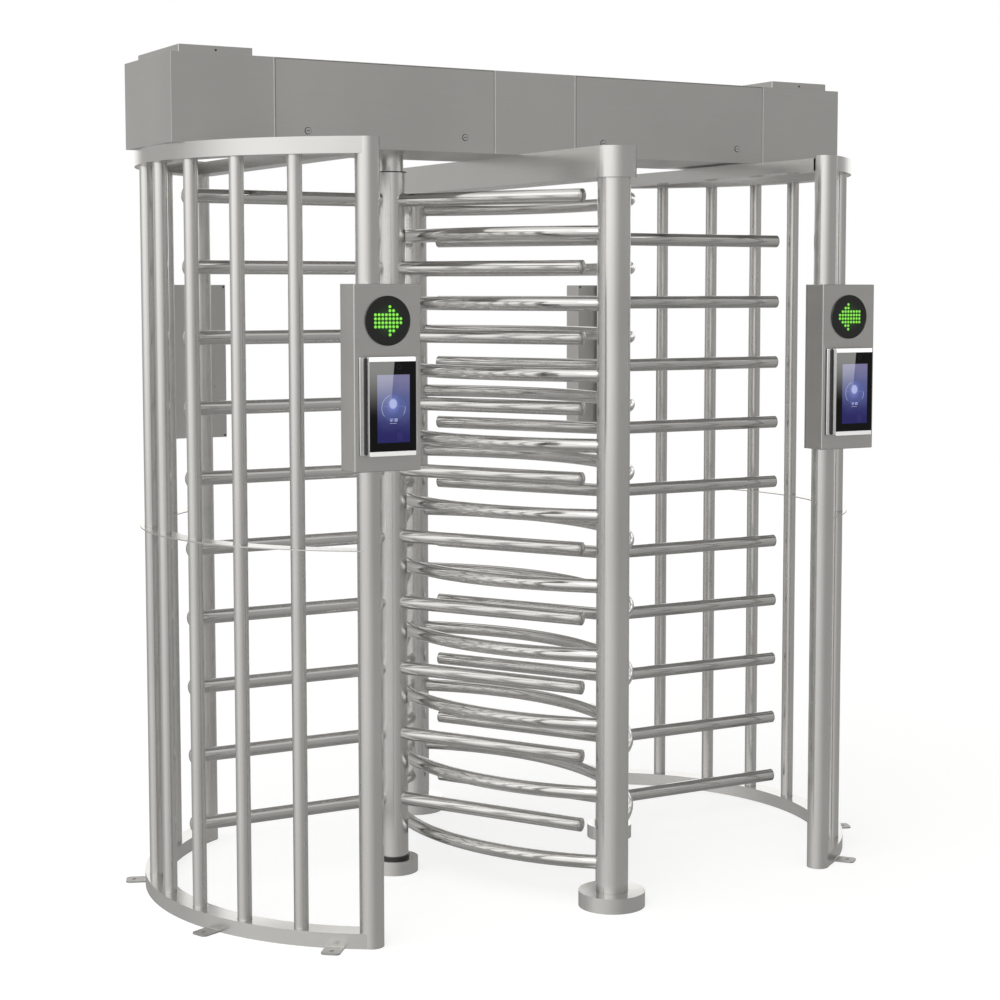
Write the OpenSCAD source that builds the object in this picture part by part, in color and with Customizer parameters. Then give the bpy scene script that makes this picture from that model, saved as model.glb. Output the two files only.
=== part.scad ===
// Full height turnstile with two lanes: two rotors with three wings of arms,
// a middle barrier of curved bars, two round cages and a canopy over all.
// X runs along the canopy, Y through the lanes, Z up. The origin is on the floor, at the centre.

/* [Rotors] */
// Reach of an arm, from the rotor axis to the end of its cap
arm_reach = 619; // [560:1:680]
// Diameter of an arm
arm_d = 38; // [32:1:44]
// Wall of the arm tubes
arm_wall = 2; // [1.5:0.5:3]
// Number of arms in one wing
arm_count = 10; // [8:1:11]
// Height of the left rotor's top arm below the column's top
arm_top_drop = 77.4; // [60:1:100]
// Height of the right rotor's lowest arm above the floor
arm_low_z = 116.5; // [100:1:140]
// Diameter of a turning column
column_d = 80; // [74:1:90]
// Wall of a column
column_wall = 3; // [2:0.5:4]
// Height of an arm's domed end cap
cap_t = 8; // [6:0.5:12]

/* [Barrier] */
// Diameter of a barrier post
barrier_post_d = 89; // [76:1:100]
// Wall of the barrier posts
barrier_wall = 3; // [2:0.5:4]
// Free gap between the arm tips and a barrier post
post_gap = 33.4; // [25:1:60]
// Free gap between the arm tips and the curved bars that they sweep
sweep_gap = 12.6; // [10:1:25]
// Free gap between a column and the curved bars beside it
column_gap = 22.4; // [15:1:40]
// Diameter of a floor flange
flange_d = 182; // [150:1:200]
// Height of a floor flange
flange_h = 42; // [25:1:50]
// Width of the beam over the barrier
beam_w = 119; // [110:1:140]
// Height of the beam over the barrier
beam_h = 82; // [70:1:110]

/* [Cages] */
// Height of the frame, from the floor to the canopy's underside
frame_h = 2048; // [1950:1:2250]
// Free gap between the arm tips and the bands of a cage
cage_gap = 29; // [20:1:50]
// Radial width of a band
band_w = 60; // [50:1:62]
// Height of a top band
top_band_h = 42; // [35:1:60]
// Height of a floor band
floor_band_h = 40; // [30:1:60]
// Wall of the bands and of the ties
band_wall = 2; // [1.5:0.5:3]
// Height of the flat ring's underside
ring_z = 1017; // [800:1:1200]
// Thickness of the flat ring
ring_t = 3; // [2:0.5:6]
// Diameter of an end post
end_post_d = 63; // [63:1:70]
// Wall of the end posts
end_post_wall = 2.5; // [2:0.5:4]
// Angle from a cage's outward side to its end posts
end_post_angle = 58.95; // [56:0.05:61]
// Diameter of a cage bar
cage_bar_d = 38; // [32:1:42]
// Wall of the cage bars
cage_bar_wall = 2; // [1.5:0.5:3]
// Number of bars in one cage
cage_bar_count = 7; // [5:2:9]
// Angle from an end post to the nearest cage bar
bar_post_angle = 15.75; // [12:0.05:18]
// Width of the tie between a cage's end posts
tie_w = 62; // [40:1:62]
// Height of the tie between a cage's end posts
tie_h = 35; // [25:1:35]

/* [Anchor tabs] */
// Width of a tab
tab_w = 50; // [40:1:60]
// Length of a tab beyond its band
tab_l = 54; // [50:1:70]
// Thickness of a tab
tab_t = 4; // [3:1:10]
// Radius of a tab's outer corners
tab_corner_r = 12; // [5:1:18]
// Diameter of the anchor hole
tab_hole_d = 12; // [8:1:16]
// Distance from the band to the middle of the hole
tab_hole_out = 32; // [28:1:36]
// Angle of the nearer tabs from a cage's outward side
tab_near_angle = 21.7; // [15:0.1:30]
// Angle of the farther tabs from a cage's outward side
tab_far_angle = 51.4; // [40:0.1:53]

/* [Canopy] */
// Depth of the canopy, front to back
canopy_d = 358; // [340:1:400]
// Height of the canopy
canopy_h = 230; // [225:1:260]
// Overhang of the canopy past the cages
canopy_over = 2; // [0:1:20]
// Thickness of the canopy's sheet
sheet_t = 2; // [1.5:0.5:2.5]
// Length of an end block
end_block_l = 287; // [270:1:320]
// Length of the middle block
middle_l = 266; // [240:1:300]
// Thickness of the tray's floor
tray_t = 3; // [2:0.5:5]
// Height of the tray's front and rear edges
tray_edge_h = 10; // [8:0.5:12]
// Width of a raised lid
lid_w = 204; // [180:1:220]
// Length of a raised lid, front to back
lid_l = 310; // [260:1:330]
// Height of a raised lid
lid_h = 22; // [15:1:40]
// Free seam round an access panel
seam = 1; // [0.5:0.1:2]
// Inset of a panel fastener from the panel's end
lock_inset = 92; // [60:1:120]
// Height of the panel fasteners above the canopy's underside
lock_up = 42; // [40:1:60]
// Diameter of a fastener's head
lock_head_d = 16; // [14:1:20]

/* [Heads] */
// Height of the fixed neck between a column and the canopy
neck_h = 50; // [48:1:70]
// Diameter of a neck
neck_d = 69; // [66:1:74]
// Diameter of a rotor's shaft in its bearings
shaft_d = 25; // [20:1:30]
// Diameter of the shaft's end in the gear motor
shaft_end_d = 20; // [15:1:20]
// Diameter of a lock disc
disc_d = 150; // [130:1:160]
// Number of notches in a lock disc
notch_count = 12; // [6:6:12]
// Width of a notch
notch_w = 13.5; // [13:0.5:16]
// Width of a lock bolt
bolt_w = 12; // [10:0.5:12.5]
// Travel of a lock bolt
bolt_travel = 11.5; // [8:0.5:14]

/* [Reader boxes] */
// Width of a reader box
box_w = 181; // [160:1:200]
// Depth of a reader box behind its face
box_d = 74; // [60:1:100]
// Height of a reader box's foot above the floor
box_z = 1225; // [1100:1:1300]
// Thickness of a box's sheet
box_wall = 2; // [1:0.5:3]
// Thickness of a box's back plate
back_t = 4; // [3:0.5:6]
// Diameter of an arrow light's disc
light_d = 122; // [110:1:140]
// Distance from the box's top to the arrow light
light_margin = 29; // [15:1:60]
// Distance from the arrow light to the terminal
light_gap = 26; // [10:1:50]
// Thickness of an arrow light's disc
light_t = 4; // [3:0.5:8]
// Distance from one lamp to the next
lamp_step = 9.8; // [9.8:0.1:10.8]
// Diameter of a lamp
lamp_d = 8; // [6:0.1:9]
// Width of a terminal's front
terminal_w = 126; // [110:1:140]
// Height of a terminal
terminal_h = 243; // [220:1:250]
// Height of a terminal's foot above the box's foot
terminal_up = 40; // [30:1:48]

/* [Hidden] */
$fn = 64;

// Sides: the left lane lies at negative X, and the front at negative Y
LEFT = -1;
RIGHT = 1;
SIDES = [LEFT, RIGHT];

// Wings, and the share of the arm pitch by which the right rotor's arms lie lower
wing_count = 3;
stagger_share = 0.52;

// Overrun of every cut, running clearance of shafts, and the gap between seated pieces
cut = 1;
run_gap = 0.06;
seat_gap = 0.3;

// Rotors
arm_r = arm_d / 2;
column_r = column_d / 2;
rotor_x = (arm_reach + column_r + sweep_gap + arm_d + column_gap) / 2;
pivot_flange_h = 40;
seal_h = 8;
seal_d = 88;
seal_bore_d = 40;
column_z = pivot_flange_h + seal_h;
column_top = frame_h - neck_h;
left_top_z = column_top - arm_top_drop;
arm_pitch = (left_top_z - arm_low_z) / (arm_count - 1 + stagger_share);
right_top_z = left_top_z - stagger_share * arm_pitch;
cap_spigot = 10;
cap_rim = 2;
dome_h = cap_t - cap_rim;
dome_r = (pow(arm_r, 2) + pow(dome_h, 2)) / (2 * dome_h);
cap_groove = 0.8;
foot_h = 50;
foot_bore_h = 40;
plug_h = 20;
pivot_flange_d = 135;
pin_d = shaft_d;

// Barrier
bar_r = arm_r;
barrier_r = barrier_post_d / 2;
flange_gap = 0.8;
barrier_y = sqrt(pow(arm_reach + post_gap + barrier_r, 2) - pow(rotor_x, 2));
barrier_top = frame_h - beam_h;
beam_wall = band_wall;
bar_bulge = arm_reach - rotor_x + sweep_gap + bar_r;
bar_bend_r = (pow(barrier_y, 2) + pow(bar_bulge, 2)) / (2 * bar_bulge);
bar_half_angle = asin(barrier_y / bar_bend_r);

// Cages
band_in_r = arm_reach + cage_gap;
band_out_r = band_in_r + band_w;
cage_r = band_in_r + band_w / 2;
end_post_r = end_post_d / 2;
end_post_x = rotor_x + cage_r * cos(end_post_angle);
end_post_y = cage_r * sin(end_post_angle);
top_band_z = frame_h - top_band_h;
cage_bar_r = cage_bar_d / 2;
cage_bar_step = 2 * (end_post_angle - bar_post_angle) / (cage_bar_count - 1);
post_cap_t = end_post_wall;

// Canopy
canopy_half_l = rotor_x + band_out_r + canopy_over;
canopy_half_d = canopy_d / 2;
canopy_top = frame_h + canopy_h;
tray_top = frame_h + tray_t;
tray_edge_top = frame_h + tray_edge_h;
block_in_x = canopy_half_l - end_block_l;
middle_half = middle_l / 2;
lid_margin = 30;
lid_x = canopy_half_l - lid_margin - lid_w / 2;
hatch_margin = 20;
hatch_w = lid_w - 2 * hatch_margin;
hatch_l = lid_l - 2 * hatch_margin;
lid_wall = 1.5;
screw_d = 6;
screw_h = 2;

// Access panels: a rod along the top edge, with a pin in the block beside each end
panel_l = block_in_x - middle_half - 2 * seam;
panel_mid_x = (block_in_x + middle_half) / 2;
hinge_rod_r = 3;
hinge_pin_r = 1.5;
hinge_y = -canopy_half_d + sheet_t + hinge_pin_r + 0.25 * sheet_t;
panel_top = canopy_top - sheet_t - seam;
hinge_drop = 12;
hinge_z = panel_top - hinge_drop;
panel_foot = frame_h + seam;
lock_z = frame_h + lock_up;
lock_stem_d = 12;
lock_head_t = 2;
key_l = 10;
key_w = 2;
key_deep = 1.2;
lock_stem_l = 9;
cam_t = 3;
cam_w = 10;
cam_l = lock_up - tray_t - seam;
lock_outer_x = block_in_x - lock_inset;
lock_inner_x = middle_half + lock_inset;

// Heads, from the tray upwards
housing_flange_d = 120;
housing_flange_h = 8;
bearing_d = 52;
bearing_h = 15;
bearing_inset = 2;
housing_foot = column_top + bearing_inset;
housing_top = tray_top + housing_flange_h;
shaft_foot = column_top;
disc_gap = 6;
disc_hub_h = 10;
disc_hub_d = 44;
disc_t = 10;
disc_foot = housing_top + disc_gap + disc_hub_h;
disc_top = disc_foot + disc_t;
bracket_gap = 16;
bracket_t = 5;
bracket_w = 120;
bracket_clear = 25;
bracket_half_d = disc_d / 2 + bracket_clear;
bracket_hole_d = 60;
bracket_top = disc_top + bracket_gap + bracket_t;
gearbox_d = 90;
gearbox_h = 60;
motor_d = 76;
motor_h = 55;
shaft_shoulder_z = bracket_top - bracket_t;
shaft_end_h = 50;
bolt_gap = 2;
notch_spare = 2.5;
notch_deep = bolt_travel - bolt_gap + notch_spare;
bolt_h = bolt_w;
bolt_head_w = 20;
bolt_head_t = 4;
bolt_z = (disc_foot + disc_top - bolt_h) / 2;
bolt_tip_r = disc_d / 2 + bolt_gap;
solenoid_off = 13;
solenoid_in_r = bolt_tip_r + solenoid_off;
solenoid_l = 60;
bolt_spare = 15.5;
bolt_l = solenoid_off + solenoid_l + bolt_travel + bolt_spare;
solenoid_w = 50;
solenoid_h = 60;
unit_w = 180;
unit_d = 110;
unit_h = 60;
foot_l = 14;
foot_t = 2;
outlet_count = 5;
outlet_w = 22;
outlet_out = 6;
outlet_up = 30;
supply_w = 150;
supply_d = 98;
supply_h = 48;
supply_out = 110;
vent_count = 8;
vent_w = 4;
vent_deep = 3;
vent_l = 60;

// Reader boxes, from the end post outwards
back_y = end_post_y + end_post_r;
box_y = back_y + back_t;
face_y = box_y + box_d;
box_h = terminal_up + terminal_h + light_gap + light_d + light_margin;
box_top = box_z + box_h;
light_z = box_top - light_margin - light_d / 2;
lamp_rise = 1.2;
case_side = 13;
case_w = terminal_w + 2 * case_side;
case_t = 10;
shadow_in = 5;
shadow_w = terminal_w - 2 * shadow_in;
shadow_h = terminal_h - 2 * shadow_in;
shadow_t = 8;
front_t = 11;
glass_t = 2;
strip_h = 12;
terminal_z = box_z + terminal_up;
terminal_y = face_y + case_t + shadow_t;
plate_screw_inset = 6;
slot_w = 24;
slot_h = 8;
slot_up = 150;

// Rows of the arrow on the lamp grid: first and last column, from the tail's side
grid = 8;
arrow_rows = [[5, 5], [5, 6], [1, 7], [1, 8], [1, 8], [1, 7], [5, 6], [5, 5]];

steel = [0.78, 0.77, 0.75];
dull_steel = [0.56, 0.56, 0.545];
black = [0.07, 0.07, 0.07];

// Shared shapes

module tube(d, wall, h) {
    difference() {
        cylinder(d = d, h = h);
        translate([0, 0, -cut]) cylinder(d = d - 2 * wall, h = h + 2 * cut);
    }
}

module at_rotor(side, z) {
    translate([side * rotor_x, 0, z]) children();
}

// Turns a shape drawn along +X so that it points outwards from the rotor axis of a side
module outward(side) {
    rotate([0, 0, side == LEFT ? 180 : 0]) children();
}

module block(x0, x1, y0, y1, z0, z1) {
    translate([x0, y0, z0]) cube([x1 - x0, y1 - y0, z1 - z0]);
}

// A block given on the right side, and its mirror image on the left
module side_block(side, x0, x1, y0, y1, z0, z1) {
    mirror([side == LEFT ? 1 : 0, 0, 0]) block(x0, x1, y0, y1, z0, z1);
}

// Barrier

module barrier_posts() {
    color(steel)
    for (s = SIDES) translate([0, s * barrier_y, 0]) tube(barrier_post_d, barrier_wall, barrier_top);
}

module barrier_flanges() {
    color(steel)
    for (s = SIDES) translate([0, s * barrier_y, 0])
        tube(flange_d, flange_d / 2 - barrier_r - flange_gap, flange_h);
}

module stadium(w, half_l) {
    square([w, 2 * half_l], center = true);
    for (s = SIDES) translate([0, s * half_l]) circle(d = w);
}

// A box with round ends, open downwards into the two posts
module barrier_beam() {
    color(steel)
    translate([0, 0, barrier_top]) difference() {
        linear_extrude(beam_h) stadium(beam_w, barrier_y);
        translate([0, 0, beam_wall]) linear_extrude(beam_h - 2 * beam_wall)
            stadium(beam_w - 2 * beam_wall, barrier_y);
        for (s = SIDES) translate([0, s * barrier_y, -cut])
            cylinder(r = barrier_r - barrier_wall, h = beam_wall + 2 * cut);
    }
}

// One curved bar from post to post, bulging towards the given side
module curved_bar(side) {
    difference() {
        outward(side) translate([bar_bulge - bar_bend_r, 0, 0])
            rotate([0, 0, -bar_half_angle]) rotate_extrude(angle = 2 * bar_half_angle, $fn = 96)
                translate([bar_bend_r, 0]) difference() {
                    circle(r = bar_r);
                    circle(r = bar_r - arm_wall);
                }
        for (s = SIDES) translate([0, s * barrier_y, -arm_d]) cylinder(r = barrier_r, h = 2 * arm_d);
    }
}

// The bars that bulge left lie between the left rotor's arms, level with the right rotor's
module barrier_bars_left() {
    color(steel)
    for (i = [0 : arm_count - 1]) translate([0, 0, right_top_z - i * arm_pitch]) curved_bar(LEFT);
}

module barrier_bars_right() {
    color(steel)
    for (i = [0 : arm_count - 1]) translate([0, 0, left_top_z - i * arm_pitch]) curved_bar(RIGHT);
}

// Cages

module end_post_places() {
    for (sx = SIDES) for (sy = SIDES) translate([sx * end_post_x, sy * end_post_y, 0]) children();
}

module cage_posts() {
    color(steel)
    end_post_places() difference() {
        cylinder(d = end_post_d, h = frame_h);
        translate([0, 0, -cut]) cylinder(r = end_post_r - end_post_wall, h = frame_h - post_cap_t + cut);
    }
}

// A band of a cage from post to post, hollow where it has a wall
module band(side, h, wall) {
    difference() {
        at_rotor(side, 0) outward(side) rotate([0, 0, -end_post_angle])
            rotate_extrude(angle = 2 * end_post_angle, $fn = 128) difference() {
                translate([band_in_r, 0]) square([band_w, h]);
                if (wall > 0) translate([band_in_r + wall, wall]) square([band_w - 2 * wall, h - 2 * wall]);
            }
        end_post_places() translate([0, 0, -cut]) cylinder(d = end_post_d, h = h + 2 * cut);
    }
}

module cage_top_bands() {
    color(steel)
    for (s = SIDES) translate([0, 0, top_band_z]) band(s, top_band_h, band_wall);
}

module cage_floor_bands() {
    color(steel)
    for (s = SIDES) band(s, floor_band_h, band_wall);
}

module cage_bar_places(side) {
    first = -cage_bar_step * (cage_bar_count - 1) / 2;
    for (i = [0 : cage_bar_count - 1])
        at_rotor(side, 0) outward(side) rotate([0, 0, first + i * cage_bar_step])
            translate([cage_r, 0, 0]) children();
}

module cage_bars(side) {
    color(steel)
    cage_bar_places(side) translate([0, 0, floor_band_h])
        tube(cage_bar_d, cage_bar_wall, top_band_z - floor_band_h);
}

module cage_mid_rings() {
    color(steel)
    for (s = SIDES) translate([0, 0, ring_z]) difference() {
        band(s, ring_t, 0);
        cage_bar_places(s) translate([0, 0, -cut]) cylinder(r = cage_bar_r, h = ring_t + 2 * cut);
    }
}

// A straight box section between the two end posts of a cage, flush with the band's underside
module cage_ties() {
    color(steel)
    for (s = SIDES) difference() {
        intersection() {
            translate([s * end_post_x, 0, top_band_z + tie_h / 2])
                rotate([90, 0, 0]) difference() {
                    cube([tie_w, tie_h, 2 * end_post_y], center = true);
                    cube([tie_w - 2 * band_wall, tie_h - 2 * band_wall, 2 * end_post_y + 2 * cut],
                         center = true);
                }
            at_rotor(s, top_band_z - cut) cylinder(r = band_in_r, h = tie_h + 2 * cut, $fn = 128);
        }
        end_post_places() translate([0, 0, top_band_z - cut])
            cylinder(d = end_post_d, h = tie_h + 2 * cut);
    }
}

// A flat tab along +X with rounded outer corners
module tab_outline() {
    end_r = band_out_r + tab_l;
    translate([cage_r, -tab_w / 2]) square([end_r - tab_corner_r - cage_r, tab_w]);
    translate([cage_r, tab_corner_r - tab_w / 2]) square([end_r - cage_r, tab_w - 2 * tab_corner_r]);
    for (s = SIDES) translate([end_r - tab_corner_r, s * (tab_w / 2 - tab_corner_r)])
        circle(r = tab_corner_r);
}

// The tab starts at the band's outer face, and has one anchor hole
module anchor_tab() {
    difference() {
        linear_extrude(tab_t) tab_outline();
        translate([0, 0, -cut]) cylinder(r = band_out_r, h = tab_t + 2 * cut, $fn = 128);
        translate([band_out_r + tab_hole_out, 0, -cut]) cylinder(d = tab_hole_d, h = tab_t + 2 * cut);
    }
}

module anchor_tabs() {
    color(steel)
    for (side = SIDES) for (s = SIDES) for (a = [tab_near_angle, tab_far_angle])
        at_rotor(side, 0) outward(side) rotate([0, 0, s * a]) anchor_tab();
}

// Canopy

module canopy_tray() {
    in_l = canopy_half_l - sheet_t - seat_gap;
    in_d = canopy_half_d - sheet_t - seat_gap;
    color(dull_steel)
    difference() {
        union() {
            block(-in_l, in_l, -in_d, in_d, frame_h, tray_top);
            block(-in_l, in_l, -in_d, -in_d + sheet_t, frame_h, tray_edge_top);
            block(-in_l, in_l, in_d - sheet_t, in_d, frame_h, tray_edge_top);
        }
        for (s = SIDES) at_rotor(s, frame_h - cut)
            cylinder(r = neck_d / 2 + seat_gap, h = tray_t + 2 * cut);
    }
}

// The hole for a panel's hinge pin, through a wall that faces along X
module hinge_hole(x) {
    translate([x, hinge_y, hinge_z]) rotate([0, 90, 0])
        cylinder(r = hinge_pin_r + run_gap, h = 4 * sheet_t, center = true);
}

module canopy_end_blocks() {
    t = sheet_t;
    wall_z = tray_edge_top + seat_gap;
    color(dull_steel)
    for (s = SIDES) difference() {
        union() {
            side_block(s, block_in_x, canopy_half_l, -canopy_half_d, canopy_half_d,
                       canopy_top - t, canopy_top);
            side_block(s, canopy_half_l - t, canopy_half_l, -canopy_half_d, canopy_half_d,
                       frame_h, canopy_top);
            side_block(s, block_in_x, block_in_x + t, -canopy_half_d, canopy_half_d, wall_z, canopy_top);
            for (f = [-canopy_half_d, canopy_half_d - t])
                side_block(s, block_in_x, canopy_half_l, f, f + t, frame_h, canopy_top);
        }
        side_block(s, lid_x - hatch_w / 2, lid_x + hatch_w / 2, -hatch_l / 2, hatch_l / 2,
                   canopy_top - t - cut, canopy_top + cut);
        hinge_hole(s * block_in_x);
    }
}

module canopy_middle() {
    t = sheet_t;
    wall_z = tray_edge_top + seat_gap;
    color(dull_steel)
    difference() {
        union() {
            block(-middle_half, middle_half, -canopy_half_d, canopy_half_d, canopy_top - t, canopy_top);
            for (f = [-canopy_half_d, canopy_half_d - t])
                block(-middle_half, middle_half, f, f + t, frame_h, canopy_top);
            for (s = SIDES) side_block(s, middle_half - t, middle_half, -canopy_half_d, canopy_half_d,
                                       wall_z, canopy_top);
        }
        for (s = SIDES) hinge_hole(s * middle_half);
    }
}

// The top and the back over each access panel, as one folded sheet
module canopy_covers() {
    t = sheet_t;
    color(dull_steel)
    for (s = SIDES) {
        side_block(s, middle_half, block_in_x, -canopy_half_d, canopy_half_d, canopy_top - t, canopy_top);
        side_block(s, middle_half, block_in_x, canopy_half_d - t, canopy_half_d, frame_h, canopy_top);
    }
}

module canopy_lids() {
    color(dull_steel)
    for (s = SIDES) translate([s * lid_x, 0, canopy_top]) difference() {
        translate([-lid_w / 2, -lid_l / 2, 0]) cube([lid_w, lid_l, lid_h]);
        translate([-lid_w / 2 + lid_wall, -lid_l / 2 + lid_wall, -cut])
            cube([lid_w - 2 * lid_wall, lid_l - 2 * lid_wall, lid_h - lid_wall + cut]);
    }
}

// Small screws: one in the front of each lid, and one in each corner of a reader's back plate
module case_screws() {
    color(black) {
        for (s = SIDES) translate([s * lid_x, -lid_l / 2, canopy_top + lid_h / 2])
            rotate([90, 0, 0]) cylinder(d = screw_d, h = screw_h);
        for (sx = SIDES) for (sy = SIDES) for (e = SIDES) for (k = SIDES)
            translate([sx * end_post_x + e * (box_w / 2 - plate_screw_inset), sy * back_y,
                       box_z + box_h / 2 + k * (box_h / 2 - plate_screw_inset)])
                rotate([sy * 90, 0, 0]) cylinder(d = screw_d, h = screw_h);
    }
}

// A sheet that closes the canopy's front, with its hinge rod and pins
module access_panel(side) {
    x = side * panel_mid_x;
    color(dull_steel)
    difference() {
        union() {
            block(x - panel_l / 2, x + panel_l / 2, -canopy_half_d, -canopy_half_d + sheet_t,
                  panel_foot, panel_top);
            translate([x, hinge_y, hinge_z]) rotate([0, 90, 0]) {
                cylinder(r = hinge_rod_r, h = panel_l, center = true);
                cylinder(r = hinge_pin_r, h = panel_l + 2 * (seam + sheet_t), center = true);
            }
        }
        for (lx = [lock_outer_x, lock_inner_x])
            translate([side * lx, -canopy_half_d - cut, lock_z]) rotate([-90, 0, 0])
                cylinder(d = lock_stem_d + 2 * run_gap, h = sheet_t + 2 * cut);
    }
}

// A quarter turn fastener: slotted head in front, cam behind, drawn undone with the cam along X
module panel_lock(side, lx) {
    color(steel)
    translate([side * lx, -canopy_half_d, lock_z]) rotate([-90, 0, 0]) {
        difference() {
            translate([0, 0, -lock_head_t]) cylinder(d = lock_head_d, h = lock_head_t);
            translate([-key_l / 2, -key_w / 2, -lock_head_t - cut]) cube([key_l, key_w, key_deep + cut]);
        }
        cylinder(d = lock_stem_d, h = lock_stem_l);
        translate([-cam_w / 2, -cam_w / 2, lock_stem_l - cam_t])
            cube([cam_w / 2 + cam_l, cam_w, cam_t]);
    }
}

// Columns and their pivots

module pivot_bases() {
    color(steel)
    for (s = SIDES) at_rotor(s, 0) {
        cylinder(d = pivot_flange_d, h = pivot_flange_h);
        cylinder(d = pin_d, h = column_z + foot_bore_h - seat_gap);
    }
}

module pivot_seals() {
    color(black)
    for (s = SIDES) at_rotor(s, pivot_flange_h) tube(seal_d, (seal_d - seal_bore_d) / 2, seal_h - seat_gap);
}

module rotor_column(side) {
    color(steel)
    at_rotor(side, column_z) tube(column_d, column_wall, column_top - column_z);
}

module rotor_foot(side) {
    color(dull_steel)
    at_rotor(side, column_z) difference() {
        cylinder(r = column_r - column_wall, h = foot_h);
        translate([0, 0, -cut]) cylinder(d = pin_d + 2 * run_gap, h = foot_bore_h + cut);
    }
}

// The plug in a column's top and the shaft that turns in the neck's bearings
module rotor_shaft(side) {
    color(steel)
    at_rotor(side, 0) {
        translate([0, 0, column_top - plug_h]) cylinder(r = column_r - column_wall, h = plug_h);
        translate([0, 0, column_top]) cylinder(d = shaft_d, h = shaft_shoulder_z - column_top);
        translate([0, 0, shaft_shoulder_z]) cylinder(d = shaft_end_d, h = shaft_end_h);
    }
}

module wing_arms(side, top_z) {
    for (w = [0 : wing_count - 1]) for (i = [0 : arm_count - 1])
        at_rotor(side, top_z - i * arm_pitch) outward(side)
            rotate([0, 0, w * 360 / wing_count]) rotate([0, 90, 0]) children();
}

module rotor_arms(side, top_z) {
    color(steel)
    wing_arms(side, top_z) difference() {
        cylinder(r = arm_r, h = arm_reach - cap_t - cap_groove);
        cylinder(r = arm_r - arm_wall, h = arm_reach);
        rotate([0, 90, 0]) cylinder(r = column_r, h = 2 * arm_d, center = true);
    }
}

// A short rim under a shallow dome, on a spigot that sits in the arm
module arm_caps(side, top_z) {
    color(dull_steel)
    wing_arms(side, top_z) {
        translate([0, 0, arm_reach - cap_t]) intersection() {
            cylinder(r = arm_r, h = cap_t);
            translate([0, 0, cap_t - dome_r]) sphere(r = dome_r);
        }
        translate([0, 0, arm_reach - cap_t - cap_spigot])
            cylinder(r = arm_r - arm_wall - run_gap, h = cap_rim + cap_spigot);
    }
}

// Heads inside the canopy

module neck_housings() {
    color(steel)
    for (s = SIDES) at_rotor(s, 0) difference() {
        union() {
            translate([0, 0, housing_foot]) cylinder(d = neck_d, h = housing_top - housing_foot);
            translate([0, 0, tray_top]) cylinder(d = housing_flange_d, h = housing_flange_h);
        }
        translate([0, 0, housing_foot - cut])
            cylinder(d = bearing_d, h = housing_top - housing_foot + 2 * cut);
    }
}

module neck_bearings() {
    color(dull_steel)
    for (s = SIDES) for (z = [housing_foot + bearing_inset, housing_top - bearing_inset - bearing_h])
        at_rotor(s, z) tube(bearing_d, bearing_d / 2 - shaft_d / 2 - run_gap, bearing_h);
}

// A clamped disc with notches for the lock bolt, one of them facing the bolt
module lock_disc(side) {
    color(dull_steel)
    at_rotor(side, 0) difference() {
        union() {
            translate([0, 0, disc_foot]) cylinder(d = disc_d, h = disc_t);
            translate([0, 0, disc_foot - disc_hub_h]) cylinder(d = disc_hub_d, h = disc_hub_h);
        }
        translate([0, 0, disc_foot - disc_hub_h - cut])
            cylinder(d = shaft_d, h = disc_hub_h + disc_t + 2 * cut);
        for (i = [0 : notch_count - 1]) rotate([0, 0, i * 360 / notch_count])
            translate([disc_d / 2 - notch_deep, -notch_w / 2, disc_foot - cut])
                cube([notch_deep + cut, notch_w, disc_t + 2 * cut]);
    }
}

// The bolt slides towards the column from the middle of the canopy
module lock_bolt(side) {
    color(steel)
    at_rotor(side, bolt_z) outward(-side) {
        translate([bolt_tip_r, -bolt_w / 2, 0]) cube([bolt_l, bolt_w, bolt_h]);
        translate([bolt_tip_r + bolt_l, -bolt_head_w / 2, (bolt_h - bolt_head_w) / 2])
            cube([bolt_head_t, bolt_head_w, bolt_head_w]);
    }
}

module lock_solenoids() {
    slot = bolt_w + 2 * seat_gap;
    color([0.15, 0.16, 0.18])
    for (s = SIDES) at_rotor(s, 0) outward(-s) difference() {
        translate([solenoid_in_r, -solenoid_w / 2, tray_top]) cube([solenoid_l, solenoid_w, solenoid_h]);
        translate([solenoid_in_r - cut, -slot / 2, bolt_z - seat_gap])
            cube([solenoid_l + 2 * cut, slot, bolt_h + 2 * seat_gap]);
    }
}

// A gear motor with a hollow output bore that takes the shaft's end
module drive_motors() {
    color([0.2, 0.21, 0.23])
    for (s = SIDES) at_rotor(s, bracket_top) difference() {
        union() {
            cylinder(d = gearbox_d, h = gearbox_h);
            translate([0, 0, gearbox_h]) cylinder(d = motor_d, h = motor_h);
        }
        translate([0, 0, -cut]) cylinder(d = shaft_end_d + 2 * run_gap, h = shaft_end_h + cut);
    }
}

module motor_brackets() {
    color(dull_steel)
    for (s = SIDES) at_rotor(s, 0) difference() {
        block(-bracket_w / 2, bracket_w / 2, -bracket_half_d, bracket_half_d, tray_top, bracket_top);
        block(-bracket_w / 2 - cut, bracket_w / 2 + cut,
              -bracket_half_d + bracket_t, bracket_half_d - bracket_t,
              tray_top - cut, bracket_top - bracket_t);
        translate([0, 0, tray_top]) cylinder(d = bracket_hole_d, h = bracket_top);
    }
}

// A case on two feet, with a row of outlets along its front
module control_unit() {
    half_w = unit_w / 2;
    half_d = unit_d / 2;
    step = unit_w / outlet_count;
    color([0.3, 0.32, 0.3]) {
        block(-half_w, half_w, -half_d, half_d, tray_top, tray_top + unit_h);
        block(-half_w - foot_l, half_w + foot_l, -half_d, half_d, tray_top, tray_top + foot_t);
        for (i = [0 : outlet_count - 1])
            translate([(i - (outlet_count - 1) / 2) * step - outlet_w / 2,
                       -half_d - outlet_out, tray_top + outlet_up])
                cube([outlet_w, outlet_out, unit_h - outlet_up - outlet_out]);
    }
}

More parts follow.
